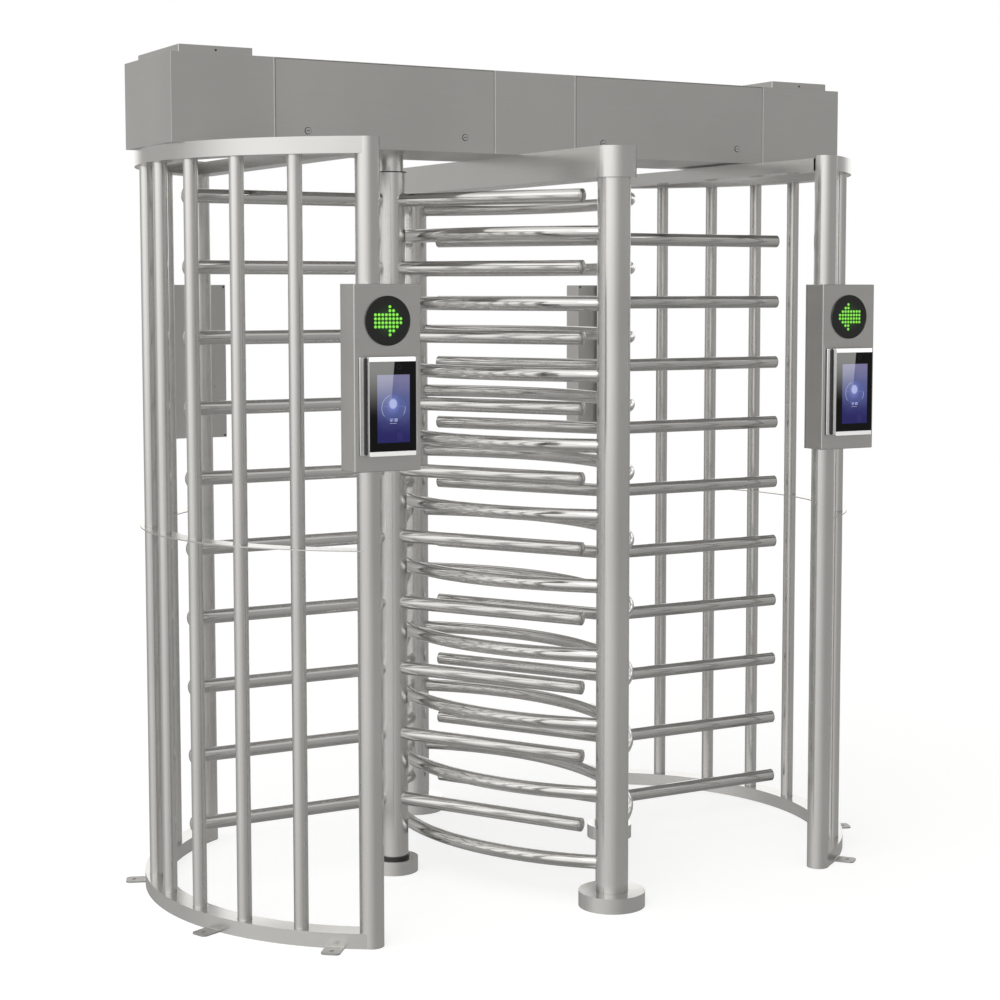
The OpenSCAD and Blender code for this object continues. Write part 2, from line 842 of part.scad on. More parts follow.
// A case on two feet, with vents across its top
module power_supply() {
    x0 = rotor_x + supply_out;
    step = supply_w / vent_count;
    color([0.6, 0.6, 0.62])
    difference() {
        union() {
            block(x0, x0 + supply_w, -supply_d / 2, supply_d / 2, tray_top, tray_top + supply_h);
            block(x0 - foot_l, x0 + supply_w + foot_l, -supply_d / 2, supply_d / 2,
                  tray_top, tray_top + foot_t);
        }
        for (i = [0 : vent_count - 1])
            translate([x0 + (i + 0.5) * step - vent_w / 2, -vent_l / 2, tray_top + supply_h - vent_deep])
                cube([vent_w, vent_l, vent_deep + cut]);
    }
}

// Reader boxes

// Places a shape drawn for the left front box at each of the four boxes
module reader_place(sx, sy) {
    mirror([0, sy == RIGHT ? 1 : 0, 0]) mirror([sx == RIGHT ? 1 : 0, 0, 0])
        translate([-end_post_x, 0, 0]) children();
}

module reader_places() {
    for (sx = SIDES) for (sy = SIDES) reader_place(sx, sy) children();
}

module reader_box(sx, sy) {
    color(dull_steel)
    reader_place(sx, sy) difference() {
        block(-box_w / 2, box_w / 2, -face_y, -box_y, box_z, box_top);
        block(-box_w / 2 + box_wall, box_w / 2 - box_wall, -face_y + box_wall, -box_y + cut,
              box_z + box_wall, box_top - box_wall);
    }
}

module reader_back_plates() {
    color(dull_steel)
    reader_places() difference() {
        block(-box_w / 2, box_w / 2, -box_y, -back_y, box_z, box_top);
        block(end_post_r, end_post_r + slot_w, -box_y - cut, -back_y + cut, box_z + slot_up,
              box_z + slot_up + slot_h);
    }
}

module arrow_discs() {
    color(black)
    reader_places() translate([0, -face_y, light_z]) rotate([90, 0, 0]) cylinder(d = light_d, h = light_t);
}

// Lamps in the shape of an arrow that points to the lane's middle
module arrow_lamps() {
    color([0.35, 0.95, 0.2])
    reader_places() for (row = [0 : grid - 1]) for (col = [arrow_rows[row][0] : arrow_rows[row][1]])
        translate([(col - (grid + 1) / 2) * lamp_step, -face_y - light_t,
                   light_z + ((grid - 1) / 2 - row) * lamp_step])
            rotate([90, 0, 0]) cylinder(d = lamp_d, h = lamp_rise, $fn = 24);
}

// The wide rear half of a terminal
module terminal_cases() {
    color(dull_steel)
    reader_places() block(-case_w / 2, case_w / 2, -face_y - case_t, -face_y,
                          terminal_z, terminal_z + terminal_h);
}

// The front half, with the narrower neck behind it
module terminal_fronts() {
    foot = terminal_z + shadow_in;
    color(black)
    reader_places() {
        block(-shadow_w / 2, shadow_w / 2, -terminal_y, -face_y - case_t, foot, foot + shadow_h);
        block(-terminal_w / 2, terminal_w / 2, -terminal_y - front_t + glass_t, -terminal_y,
              terminal_z, terminal_z + terminal_h);
    }
}

module terminal_screens() {
    color([0.1, 0.1, 0.3])
    reader_places() block(-terminal_w / 2, terminal_w / 2,
                          -terminal_y - front_t, -terminal_y - front_t + glass_t,
                          terminal_z + strip_h, terminal_z + terminal_h - strip_h);
}

module terminal_strips() {
    color(steel)
    reader_places() for (z = [terminal_z, terminal_z + terminal_h - strip_h])
        block(-terminal_w / 2, terminal_w / 2, -terminal_y - front_t, -terminal_y - front_t + glass_t,
              z, z + strip_h);
}

barrier_posts();
barrier_flanges();
barrier_beam();
barrier_bars_left();
barrier_bars_right();
cage_posts();
cage_top_bands();
cage_floor_bands();
cage_mid_rings();
cage_bars(LEFT);  // left_cage_bars
cage_bars(RIGHT);  // right_cage_bars
cage_ties();
anchor_tabs();
canopy_tray();
canopy_end_blocks();
canopy_middle();
canopy_covers();
canopy_lids();
case_screws();
pivot_bases();
pivot_seals();
neck_housings();
neck_bearings();
drive_motors();
motor_brackets();
lock_solenoids();
control_unit();
power_supply();
reader_box(LEFT, LEFT);  // reader_box_left_front
reader_box(LEFT, RIGHT);  // reader_box_left_rear
reader_box(RIGHT, LEFT);  // reader_box_right_front
reader_box(RIGHT, RIGHT);  // reader_box_right_rear
reader_back_plates();
arrow_discs();
arrow_lamps();
terminal_cases();
terminal_fronts();
terminal_screens();
terminal_strips();
rotor_column(LEFT);  // left_rotor_column
rotor_column(RIGHT);  // right_rotor_column
rotor_shaft(LEFT);  // left_rotor_shaft
rotor_shaft(RIGHT);  // right_rotor_shaft
rotor_foot(LEFT);  // left_rotor_foot
rotor_foot(RIGHT);  // right_rotor_foot
rotor_arms(LEFT, left_top_z);  // left_rotor_arms
rotor_arms(RIGHT, right_top_z);  // right_rotor_arms
arm_caps(LEFT, left_top_z);  // left_arm_caps
arm_caps(RIGHT, right_top_z);  // right_arm_caps
lock_disc(LEFT);  // left_lock_disc
lock_disc(RIGHT);  // right_lock_disc
lock_bolt(LEFT);  // left_lock_bolt
lock_bolt(RIGHT);  // right_lock_bolt
access_panel(LEFT);  // left_access_panel
access_panel(RIGHT);  // right_access_panel
panel_lock(LEFT, lock_outer_x);  // left_panel_lock_outer
panel_lock(LEFT, lock_inner_x);  // left_panel_lock_inner
panel_lock(RIGHT, lock_outer_x);  // right_panel_lock_outer
panel_lock(RIGHT, lock_inner_x);  // right_panel_lock_inner
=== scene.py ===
# %% [markdown]
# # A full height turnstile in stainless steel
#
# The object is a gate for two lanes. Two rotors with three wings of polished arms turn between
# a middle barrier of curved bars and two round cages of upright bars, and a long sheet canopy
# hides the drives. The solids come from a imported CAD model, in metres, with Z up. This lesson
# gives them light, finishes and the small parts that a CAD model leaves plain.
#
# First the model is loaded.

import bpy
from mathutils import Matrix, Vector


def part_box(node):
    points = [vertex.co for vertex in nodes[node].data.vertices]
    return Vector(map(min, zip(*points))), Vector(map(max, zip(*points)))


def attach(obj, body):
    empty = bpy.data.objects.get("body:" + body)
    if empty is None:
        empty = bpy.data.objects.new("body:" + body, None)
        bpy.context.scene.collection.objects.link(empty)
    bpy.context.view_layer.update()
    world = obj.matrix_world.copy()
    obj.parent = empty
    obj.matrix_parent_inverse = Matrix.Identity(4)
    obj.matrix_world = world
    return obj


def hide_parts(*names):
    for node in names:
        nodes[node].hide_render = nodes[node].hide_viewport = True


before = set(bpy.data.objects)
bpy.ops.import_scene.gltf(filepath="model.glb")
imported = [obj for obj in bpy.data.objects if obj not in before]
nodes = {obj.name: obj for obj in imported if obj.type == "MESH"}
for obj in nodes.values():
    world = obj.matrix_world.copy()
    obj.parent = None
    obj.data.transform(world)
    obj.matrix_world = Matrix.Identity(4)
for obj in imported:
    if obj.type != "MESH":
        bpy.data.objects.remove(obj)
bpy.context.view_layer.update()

# %% [markdown]
# The rest comes with Blender: bmesh builds a shape point by point, and mathutils has vectors
# and matrices, so that a place can be written as a sum.

# %% Blender's own helpers
import math

import bmesh
import bpy
from mathutils import Matrix, Vector

print("Blender", bpy.app.version_string)

# %% [markdown]
# ## The camera
#
# The view is a long lens at eye height, a little left of the gate. A lens can be placed by
# trying, or solved from known points of the object. These numbers were solved: where the
# camera stands, how far it turns right and down, and its focal length. The picture's middle
# isn't on the lens axis, and the two shifts say by how much.

# %% Camera
EYE = Vector((-2.8834, -5.1416, 1.6714))
TURN = math.radians(29.888)
DOWN = math.radians(4.688)
FOCAL_MM = 72.61
SENSOR_MM = 36.0
SHIFT_X = -0.02606
SHIFT_Y = -0.04519


def new_object(name, data):
    made = bpy.data.objects.new(name, data)
    bpy.context.scene.collection.objects.link(made)
    return made


def aimed(place, sight):
    """The matrix of a camera or lamp that stands at a place and looks along a direction."""
    return Matrix.Translation(place) @ sight.to_track_quat("-Z", "Y").to_matrix().to_4x4()


lens = bpy.data.cameras.new("gate_camera")
lens.lens = FOCAL_MM
lens.sensor_width = SENSOR_MM
lens.shift_x = SHIFT_X
lens.shift_y = SHIFT_Y
camera = new_object("gate_camera", lens)
sight = Vector((math.sin(TURN) * math.cos(DOWN), math.cos(TURN) * math.cos(DOWN), -math.sin(DOWN)))
camera.matrix_world = aimed(EYE, sight)
bpy.context.scene.camera = camera
bpy.context.scene.view_settings.view_transform = "Standard"
print("camera looks along", [round(n, 3) for n in sight])

# %% [markdown]
# ## Wires: shader maths as Python
#
# A material is a net of nodes, and most of them do small sums. Each could be added and linked
# by hand, but a sum is easier to read as a sum. A Wire holds one socket and overloads the
# operators, so `1 - mask` adds a Math node, and a sum of vectors adds a Vector Math node. Its
# `node` method adds any other node, settings first, and returns a Wire for the output.

# %% Wire
class Wire:
    """One socket of a node tree."""

    def __init__(self, tree, socket=None):
        self.tree = tree
        self.socket = socket

    def node(self, kind, values, out=0, **settings):
        made = self.tree.nodes.new(kind)
        for name, setting in settings.items():
            setattr(made, name, setting)
        for name, value in values.items():
            if isinstance(value, Wire):
                self.tree.links.new(value.socket, made.inputs[name])
            else:
                made.inputs[name].default_value = value
        return Wire(self.tree, made.outputs[out])

    def other(self, out):
        """Another output of the same node."""
        return Wire(self.tree, self.socket.node.outputs[out])

    def join(self, second, operation, turned=False):
        pair = [second, self] if turned else [self, second]
        if any(isinstance(p, Wire) and p.socket.type == "VECTOR" for p in pair):
            pair = [p if isinstance(p, (Wire, tuple)) else (p, p, p) for p in pair]
            return self.node("ShaderNodeVectorMath", dict(enumerate(pair)), operation=operation)
        return self.node("ShaderNodeMath", dict(enumerate(pair)), operation=operation)

    def __add__(self, second):
        return self.join(second, "ADD")

    def __radd__(self, second):
        return self.join(second, "ADD", True)

    def __sub__(self, second):
        return self.join(second, "SUBTRACT")

    def __rsub__(self, second):
        return self.join(second, "SUBTRACT", True)

    def __mul__(self, second):
        return self.join(second, "MULTIPLY")

    def __rmul__(self, second):
        return self.join(second, "MULTIPLY", True)

    def axis(self, name):
        """One number of a vector: X, Y or Z."""
        return self.node("ShaderNodeSeparateXYZ", {0: self}, out=name)

    def length(self):
        return self.node("ShaderNodeVectorMath", {0: self}, out="Value", operation="LENGTH")

    def noise(self, scale, detail=2.0, rough=0.5):
        """Cloudy noise at this place, from 0 to 1, with so many clouds a metre."""
        return self.node("ShaderNodeTexNoise", {"Vector": self, "Scale": scale, "Detail": detail,
                                                "Roughness": rough})

    def step(self, low, high):
        """A smooth climb from 0 at low to 1 at high. It falls where low is the larger."""
        if low > high:
            return 1 - self.step(high, low)
        return self.node("ShaderNodeMapRange", {"Value": self, "From Min": low, "From Max": high},
                         interpolation_type="SMOOTHSTEP")

    def between(self, low, high, soft):
        """1 between two values and 0 outside, with soft edges."""
        return self.step(low - soft, low + soft) * self.step(high + soft, high - soft)

    def mix(self, first, second):
        """The colour between two colours, with this wire as the amount of the second."""
        return self.node("ShaderNodeMix", {0: self, 6: first, 7: second}, out=2, data_type="RGBA")


print("wires ready")

# %% [markdown]
# ## The room
#
# Steel has almost no colour of its own: it shows the room. The room here is a plain studio,
# mid grey all round, with one tall pale window on the left and a pale ceiling. It could be
# built from big lamps, but lamps end in hard edges. Painting it in the world by direction
# keeps every edge soft. A direction is read in three ways: its height, its share towards the
# camera and its share to the left, each from -1 to 1. The last two also give an angle round
# the gate, in degrees, which is 0 towards the camera and 90 on the left.

# %% Directions of the room
towards_camera = Vector((-math.sin(TURN), -math.cos(TURN), 0.0))
towards_left = Vector((-math.cos(TURN), math.sin(TURN), 0.0))

world = bpy.data.worlds.new("studio_room")
bpy.context.scene.world = world
world.use_nodes = True
world.node_tree.nodes.clear()
room = Wire(world.node_tree)
direction = room.node("ShaderNodeTexCoord", {}, out="Generated")


def share_along(way):
    return room.node("ShaderNodeVectorMath", {0: direction, 1: way}, out="Value", operation="DOT_PRODUCT")


height = direction.axis("Z")
near = share_along(towards_camera)
left = share_along(towards_left)
angle = room.node("ShaderNodeMath", {0: left, 1: near}, operation="ARCTAN2") * (180 / math.pi)
print("directions ready")

# %% [markdown]
# The window ends sharply on its far side and fades towards the camera, which gives each
# upright tube its crisp light band and long shade. A bright strip lies just behind the gate at
# the height of the horizon. Upright tubes never mirror it, but each level top that is seen at
# a low angle does, and turns white. Each light or shade is a mask times an amount.

# %% Lights and shades of the room
ROOM_GREY = 0.42
WINDOW = 0.76
CEILING = 0.36
FRONT_PANEL = 0.26
FAR_SIDE = 0.10
BACK_SHADE = 0.20
CORNER_SHADE = 0.24
HORIZON = 0.95
LOW_SHADE = 0.06
FLOOR_SHADE = 0.12

tall = height.step(-0.5, -0.3) * 0.55 + height.step(-0.15, 0.05) * 0.45
window = angle.step(108, 62) * angle.step(-50, 45) * tall * height.step(0.95, 0.55)
overhead = left.step(-0.25, 0.2)
ceiling = height.step(0.45, 0.85) * overhead
front_panel = near.step(0.12, 0.30) * near.step(0.75, 0.5) * height.step(0.35, 0.6)
far_side = angle.step(150, 120) * angle.step(75, 100)
back_shade = near.step(-0.1, -0.5) * height.step(0.3, 0.5) * height.step(0.9, 0.7) * overhead
corner_shade = near.step(0.2, 0.05) * left.step(0.15, -0.2) * height.step(0.35, 0.6)
horizon = near.step(-0.78, -0.90) * height.step(-0.04, 0.02) * height.step(0.48, 0.36)
low_shade = height.step(0.02, -0.12)
floor_shade = height.step(-0.35, -0.75)
light = ROOM_GREY + window * WINDOW + ceiling * CEILING + front_panel * FRONT_PANEL
light = light + far_side * FAR_SIDE + horizon * HORIZON
dark = back_shade * BACK_SHADE + corner_shade * CORNER_SHADE + low_shade * LOW_SHADE
glow = light - dark - floor_shade * FLOOR_SHADE
print("room from", ROOM_GREY, "to about", ROOM_GREY + WINDOW)

# %% [markdown]
# The camera itself sees plain white behind the gate, and so does light that has passed through
# glass. Light Path tells those rays from the ones that metal mirrors.

# %% Background
WARM = (1.0, 0.992, 0.972, 1.0)
WHITE = (1.0, 1.0, 1.0, 1.0)

camera_ray = room.node("ShaderNodeLightPath", {}, out="Is Camera Ray")
through_glass = camera_ray.other("Is Transmission Ray")
seen = room.node("ShaderNodeMath", {0: camera_ray, 1: through_glass}, operation="MAXIMUM")
paint = room.node("ShaderNodeBackground", {"Color": WARM, "Strength": glow})
white = room.node("ShaderNodeBackground", {"Color": WHITE, "Strength": 1.0})
both = room.node("ShaderNodeMixShader", {0: seen, 1: paint, 2: white})
output = world.node_tree.nodes.new("ShaderNodeOutputWorld")
world.node_tree.links.new(both.socket, output.inputs["Surface"])
print("room has", len(world.node_tree.nodes), "nodes")

# %% [markdown]
# ## The lamp
#
# The room already lights the gate from all sides, so one broad weak lamp is enough. It stands
# high on the camera's left and gives the floor its soft shadow. A small lamp would draw hard
# bright spots on the polished arms.

# %% Lamp
LAMP_PLACE = Vector((-3.6, -4.2, 4.6))
LAMP_AIM = Vector((0.0, 0.0, 1.0))
LAMP_W = 3.0
LAMP_H = 2.5
LAMP_WATTS = 60.0

key_light = bpy.data.lights.new("key_light", "AREA")
key_light.shape = "RECTANGLE"
key_light.size = LAMP_W
key_light.size_y = LAMP_H
key_light.energy = LAMP_WATTS
key_light.color = (1.0, 0.99, 0.97)
lamp_sight = LAMP_AIM - LAMP_PLACE
new_object("key_light", key_light).matrix_world = aimed(LAMP_PLACE, lamp_sight)
print("lamp", round(lamp_sight.length, 2), "m away")

# %% [markdown]
# ## The floor
#
# The gate stands on a pale floor that melts into the white background but keeps a soft shadow.
# A plain white floor would turn grey in the distance. This one is partly its own white for the
# camera, and partly a surface that light and shadow fall on. What metal mirrors of it is mostly
# clear, so the steel shows the room below the horizon and not a white sheet.

# %% Floor
FLOOR_R = 14.0
FLOOR_SIDES = 96
FLOOR_DROP = 0.0006
FLOOR_GLOW = 0.76
FLOOR_CLEAR = 0.85


def new_mesh(name, draw, *sizes):
    """A mesh object. The given function draws its shape into a bmesh from the given sizes."""
    shape = bmesh.new()
    draw(shape, *sizes)
    bmesh.ops.recalc_face_normals(shape, faces=shape.faces)
    mesh = bpy.data.meshes.new(name)
    shape.to_mesh(mesh)
    shape.free()
    return new_object(name, mesh)


def draw_floor(shape):
    bmesh.ops.create_circle(shape, cap_ends=True, segments=FLOOR_SIDES, radius=FLOOR_R)
    bmesh.ops.translate(shape, verts=shape.verts, vec=(0, 0, -FLOOR_DROP))


floor = new_mesh("floor", draw_floor)
floor_paint = bpy.data.materials.new("pale_floor")
floor_paint.use_nodes = True
floor_paint.node_tree.nodes.clear()
ground = Wire(floor_paint.node_tree)
camera_ray = ground.node("ShaderNodeLightPath", {}, out="Is Camera Ray")
albedo = camera_ray.mix((0.86, 0.86, 0.855, 1.0), (0.40, 0.40, 0.40, 1.0))
lit = ground.node("ShaderNodeBsdfDiffuse", {"Color": albedo})
own = ground.node("ShaderNodeEmission", {"Color": WHITE, "Strength": camera_ray * FLOOR_GLOW})
pale = ground.node("ShaderNodeAddShader", {0: lit, 1: own})
clear = ground.node("ShaderNodeBsdfTransparent", {"Color": WHITE})
mirrored = camera_ray.other("Is Glossy Ray") * FLOOR_CLEAR
for_metal = ground.node("ShaderNodeMixShader", {0: mirrored, 1: pale, 2: clear})
output = floor_paint.node_tree.nodes.new("ShaderNodeOutputMaterial")
floor_paint.node_tree.links.new(for_metal.socket, output.inputs["Surface"])
floor.data.materials.append(floor_paint)
print("floor radius", FLOOR_R, "m")

# %% [markdown]
# ## Finishes
#
# Every finish starts from the same surface shader. What is the same all over a surface is
# set on the shader itself, and what changes is wired in: colour, roughness and the bump.

# %% A new finish
def new_finish(name, colour, roughness, metallic=0.0, **fixed):
    """A material with one surface shader. Returns it, a wire of the place, and the shader."""
    made = bpy.data.materials.new(name)
    made.use_nodes = True
    surface = made.node_tree.nodes["Principled BSDF"]
    surface.inputs["Base Color"].default_value = (*colour, 1.0)
    surface.inputs["Roughness"].default_value = roughness
    surface.inputs["Metallic"].default_value = metallic
    for socket, value in fixed.items():
        surface.inputs[socket.replace("_", " ")].default_value = value
    return made, Wire(made.node_tree).node("ShaderNodeTexCoord", {}, out="Object"), surface


def plug(wire, surface, name):
    wire.tree.links.new(wire.socket, surface.inputs[name])


def emboss(surface, relief, strength, depth):
    """Lets a noise bend the surface, as if it were so many metres deep."""
    bump = relief.node("ShaderNodeBump", {"Strength": strength, "Distance": depth, "Height": relief})
    plug(bump, surface, "Normal")


def shade(colour, amount):
    return (colour[0] * amount, colour[1] * amount, colour[2] * amount, 1.0)


print("surface shader ready")

# %% [markdown]
# ## Brushed and polished steel
#
# Stainless tube is ground on a belt, which leaves fine lines along it. A photograph of the
# lines could be wrapped round, but the tubes have no unwrapping. A noise that is squeezed
# along one direction draws the same lines from the position alone. Slow noise adds the faint
# clouds that hands and wiping leave. The lines move the roughness most, and the colour and
# the bump only a little, since real grinding lines are far finer than a picture shows.

# %% Brushed steel
GRIND_DEPTH = 0.0004


def steel(name, colour, roughness, grain, lines=0.05, clouds=0.06, bump=0.06):
    """A steel finish. grain is the number of lines per metre along X, Y and Z."""
    made, place, surface = new_finish(name, colour, roughness, metallic=1.0)
    fine = (place * grain).noise(1.0, 3.0, 0.6)
    slow = (place * (3.1, 3.1, 2.3)).noise(1.0)
    tone = (fine - 0.5) * 0.5 + slow
    plug(tone.step(0.25, 0.75).mix(shade(colour, 0.955), shade(colour, 1.03)), surface, "Base Color")
    plug(roughness + (fine - 0.5) * lines + (slow - 0.5) * clouds, surface, "Roughness")
    emboss(surface, fine, bump, GRIND_DEPTH)
    return made


tube_steel = steel("tube_steel", (0.71, 0.705, 0.69), 0.22, (420.0, 420.0, 6.0))
band_steel = steel("band_steel", (0.70, 0.695, 0.68), 0.25, (14.0, 14.0, 500.0))
# Paler than the sheet steel: a painted highlight for folded edges and seam beads.
painted_highlight_steel = steel("painted_highlight_steel", (0.84, 0.835, 0.82), 0.14, (60.0, 60.0, 60.0), lines=0.03)
tab_steel = steel("tab_steel", (0.50, 0.495, 0.485), 0.42, (200.0, 200.0, 200.0))
tie_steel = steel("tie_steel", (0.66, 0.655, 0.64), 0.22, (500.0, 8.0, 500.0))
sheet_steel = steel("sheet_steel", (0.66, 0.655, 0.64), 0.34, (9.0, 9.0, 620.0), lines=0.07)
lathed_steel = steel("lathed_steel", (0.70, 0.695, 0.68), 0.16, (300.0, 300.0, 300.0))
print("brushed steels ready")

# %% [markdown]
# The arms and the curved bars run level in all directions, so no one direction can be squeezed.
# Their polishing lines follow the height, the tilt of the surface and the way out from the
# middle instead.

# %% Polished bars
def arm_polish(name, colour, roughness):
    made, place, surface = new_finish(name, colour, roughness, metallic=1.0)
    up = place.axis("Z")
    tilt = place.other("Normal").axis("Z")
    run = (place * (1.0, 1.0, 0.0)).length()
    thread = place.node("ShaderNodeCombineXYZ", {"X": up * 700, "Y": tilt * 9, "Z": run * 5})
    fine = thread.noise(1.0, 3.0, 0.65)
    slow = (place * 6.0).noise(1.0)
    tone = (fine - 0.5) * 0.7 + slow
    plug(tone.step(0.2, 0.8).mix(shade(colour, 0.93), shade(colour, 1.04)), surface, "Base Color")
    plug(roughness + (fine - 0.5) * 0.04 + (slow - 0.5) * 0.04, surface, "Roughness")
    emboss(surface, fine, 0.02, GRIND_DEPTH)
    return made


arm_steel = arm_polish("arm_steel", (0.71, 0.705, 0.69), 0.115)
print("polished steel ready")

# %% [markdown]
# ## Alloy, paint, rubber and plastic
#
# The inner works and the readers use plainer finishes. Cast alloy is grainy, paint is a
# little wavy, rubber is rough and dull, and moulded plastic has a very fine leathery skin.
# One recipe makes them all: a noise at the right size bends the surface and moves its
# roughness and tone a little.

# %% Grainy finishes
def grainy(name, colour, roughness, size, bump, metallic=0.0, tone=0.12, **fixed):
    """A finish with an even grain. size is the width of a grain in metres."""
    made, place, surface = new_finish(name, colour, roughness, metallic, **fixed)
    grain = place.noise(1 / size, 3.0, 0.6)
    slow = place.noise(9.0)
    amount = ((grain - 0.5) * 0.6 + slow).step(0.2, 0.8)
    plug(amount.mix(shade(colour, 1 - tone), shade(colour, 1 + tone)), surface, "Base Color")
    plug(roughness + (grain - 0.5) * 0.1 + (slow - 0.5) * 0.1, surface, "Roughness")
    emboss(surface, grain, bump, size)
    return made


cast_alloy = grainy("cast_alloy", (0.68, 0.68, 0.69), 0.38, 0.0012, 0.15, metallic=1.0, tone=0.05)
silver_alloy = grainy("silver_alloy", (0.80, 0.80, 0.80), 0.24, 0.0004, 0.05, metallic=1.0, tone=0.03)
black_paint = grainy("black_paint", (0.05, 0.05, 0.055), 0.42, 0.002, 0.12)
black_screw = grainy("black_screw", (0.035, 0.035, 0.035), 0.35, 0.0005, 0.1, metallic=0.6)
seal_rubber = grainy("seal_rubber", (0.018, 0.018, 0.018), 0.30, 0.0009, 0.12, Coat_Weight=0.35)
black_plastic = grainy("black_plastic", (0.018, 0.018, 0.019), 0.30, 0.0006, 0.06)
neck_black = grainy("neck_black", (0.03, 0.03, 0.031), 0.5, 0.0006, 0.08)
grey_plastic = grainy("grey_plastic", (0.20, 0.215, 0.205), 0.50, 0.0009, 0.2)
screen_glass = grainy("screen_glass", (0.006, 0.006, 0.008), 0.06, 0.004, 0.01, Coat_Weight=1.0)
lamp_green = grainy("lamp_green", (0.05, 0.45, 0.02), 0.25, 0.001, 0.05, Emission_Strength=1.0,
                    Emission_Color=(0.20, 0.75, 0.04, 1.0))
print("grainy finishes ready")

# %% [markdown]
# ## Dressing the solids
#
# Each CAD solid keeps its shape and gets the finish of the real piece. Uprights are brushed
# along their length and bands around it, arms and curved bars are polished, and the canopy
# is a duller sheet. Solids that a finer piece stands for later are dressed too.

# %% Finishes on the solids
def pairs(*names):
    """The left and the right node of each name."""
    return [side + name for name in names for side in ("left_", "right_")]


def dress(finish, *names):
    for name in names:
        mesh = nodes[name].data
        mesh.materials.clear()
        mesh.materials.append(finish)


reader_boxes = ["reader_box_" + side + row for side in ("left_", "right_") for row in ("front", "rear")]
dress(tube_steel, "barrier_posts", "barrier_beam", "cage_posts", *pairs("cage_bars", "rotor_column"))
dress(band_steel, "cage_top_bands", "cage_floor_bands", "cage_mid_rings")
dress(tie_steel, "cage_ties")
dress(tab_steel, "anchor_tabs")
dress(arm_steel, "barrier_bars_left", "barrier_bars_right", *pairs("rotor_arms", "arm_caps"))
dress(sheet_steel, "canopy_tray", "canopy_end_blocks", "canopy_middle", "canopy_covers", "canopy_lids",
      "reader_back_plates", *pairs("access_panel"), *reader_boxes)
dress(lathed_steel, "barrier_flanges", "pivot_bases", "neck_housings", "neck_bearings",
      *pairs("rotor_shaft", "rotor_foot", "lock_disc", "lock_bolt", "panel_lock_outer", "panel_lock_inner"))
dress(cast_alloy, "drive_motors", "motor_brackets", "power_supply")
dress(silver_alloy, "terminal_cases", "terminal_strips")
dress(black_paint, "lock_solenoids", "arrow_discs")
dress(black_screw, "case_screws")
dress(seal_rubber, "pivot_seals")
dress(black_plastic, "terminal_fronts")
dress(grey_plastic, "control_unit")
dress(screen_glass, "terminal_screens")
dress(lamp_green, "arrow_lamps")
print("solids dressed:", sum(1 for node in nodes.values() if node.data.materials))

# %% [markdown]
# ## Rings and skins
#
# The small parts that follow are all skins over rings of points: a weld bead, a lamp lens, a
# disc or a case with round corners. Blender has ready shapes for some of them, but with rings
# each edge gets its own small rounding. Two helpers draw the points and the faces.

# %% Rings and skins
def ring(shape, middle, side, other, radius, sides):
    """A round ring of points in the plane of two directions."""
    turns = [2 * math.pi * k / sides for k in range(sides)]
    return [shape.verts.new(middle + (side * math.cos(t) + other * math.sin(t)) * radius) for t in turns]


def skin(shape, rings):
    """Faces from each ring to the next."""
    for first, second in zip(rings, rings[1:]):
        for i, point in enumerate(first):
            j = (i + 1) % len(first)
            shape.faces.new((point, first[j], second[j], second[i]))


def close(shape, rings):
    """A face on each end of a skin."""
    shape.faces.new(rings[0][::-1])
    shape.faces.new(rings[-1])


print("ring and skin ready")

# %% [markdown]
# ## Welds
#
# Tubes are joined by a thin bead of weld all round. On the real gate a bead is laid by hand
# and then brushed, so it shows as a fine raised line with small ripples. It could be a texture,
# but a texture has no edge to catch the light. Here each bead is a thin tube along the seam,
# and each of its rings is linked to the next with the least twist.

# %% A bead of weld
BEAD_R = 0.0013
BEAD_SIDES = 6
RIPPLE = 0.25
RIPPLE_PACE = 2.4


def add_bead(shape, seam, radius=BEAD_R, closed=True, ripple=RIPPLE):
    """A thin tube along a list of points, with small ripples in its thickness."""
    rings = []
    count = len(seam)
    for i, point in enumerate(seam):
        before = seam[(i - 1) % count if closed else max(i - 1, 0)]
        after = seam[(i + 1) % count if closed else min(i + 1, count - 1)]
        along = (after - before).normalized()
        side = along.orthogonal().normalized()
        thick = radius * (1 + ripple * math.sin(i * RIPPLE_PACE))
        rings.append(ring(shape, point, side, along.cross(side), thick, BEAD_SIDES))
    for first, second in zip(rings, rings[1:] + rings[:1] if closed else rings[1:]):
        shift = min(range(BEAD_SIDES), key=lambda n: (second[n].co - first[0].co).length)
        for k in range(BEAD_SIDES):
            a, b = first[k], first[(k + 1) % BEAD_SIDES]
            c, d = second[(k + 1 + shift) % BEAD_SIDES], second[(k + shift) % BEAD_SIDES]
            shape.faces.new((a, b, c, d))
    if not closed:
        close(shape, rings)


print("beads", 2 * BEAD_R, "m thick")

# %% [markdown]
# A new piece needs three things: a finish, a smooth shading that stays sharp at real edges, and a body of the
# CAD model to move with.

# %% Finishing a piece
BEAD_SHARP = 30
CASE_SHARP = 40
DOME_SHARP = 60


def finish_piece(piece, finish, body, sharp=CASE_SHARP):
    """Finishes a piece. Edges that turn by more than so many degrees stay sharp."""
    piece.data.materials.append(finish)
    piece.data.shade_smooth()
    piece.data.set_sharp_from_angle(angle=math.radians(sharp))
    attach(piece, body)


def middle_of(node):
    low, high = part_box(node)
    return (low + high) / 2


print("gate middle", middle_of("canopy_middle"))

# %% [markdown]
# The seam of a level arm on its column is worked out from their radii: round the arm by angle,
# and out to where it meets the round column. Ten levels of three arms stand at an even pitch.

# %% Welds of the arms
ARM_R = 0.019
ARM_COUNT = 10
WINGS = 3
FIRST_WING = {"left": 180, "right": 0}
SEAM_STEPS = 36
UP = Vector((0, 0, 1))

column_low, column_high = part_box("left_rotor_column")
column_r = (column_high.x - column_low.x) / 2


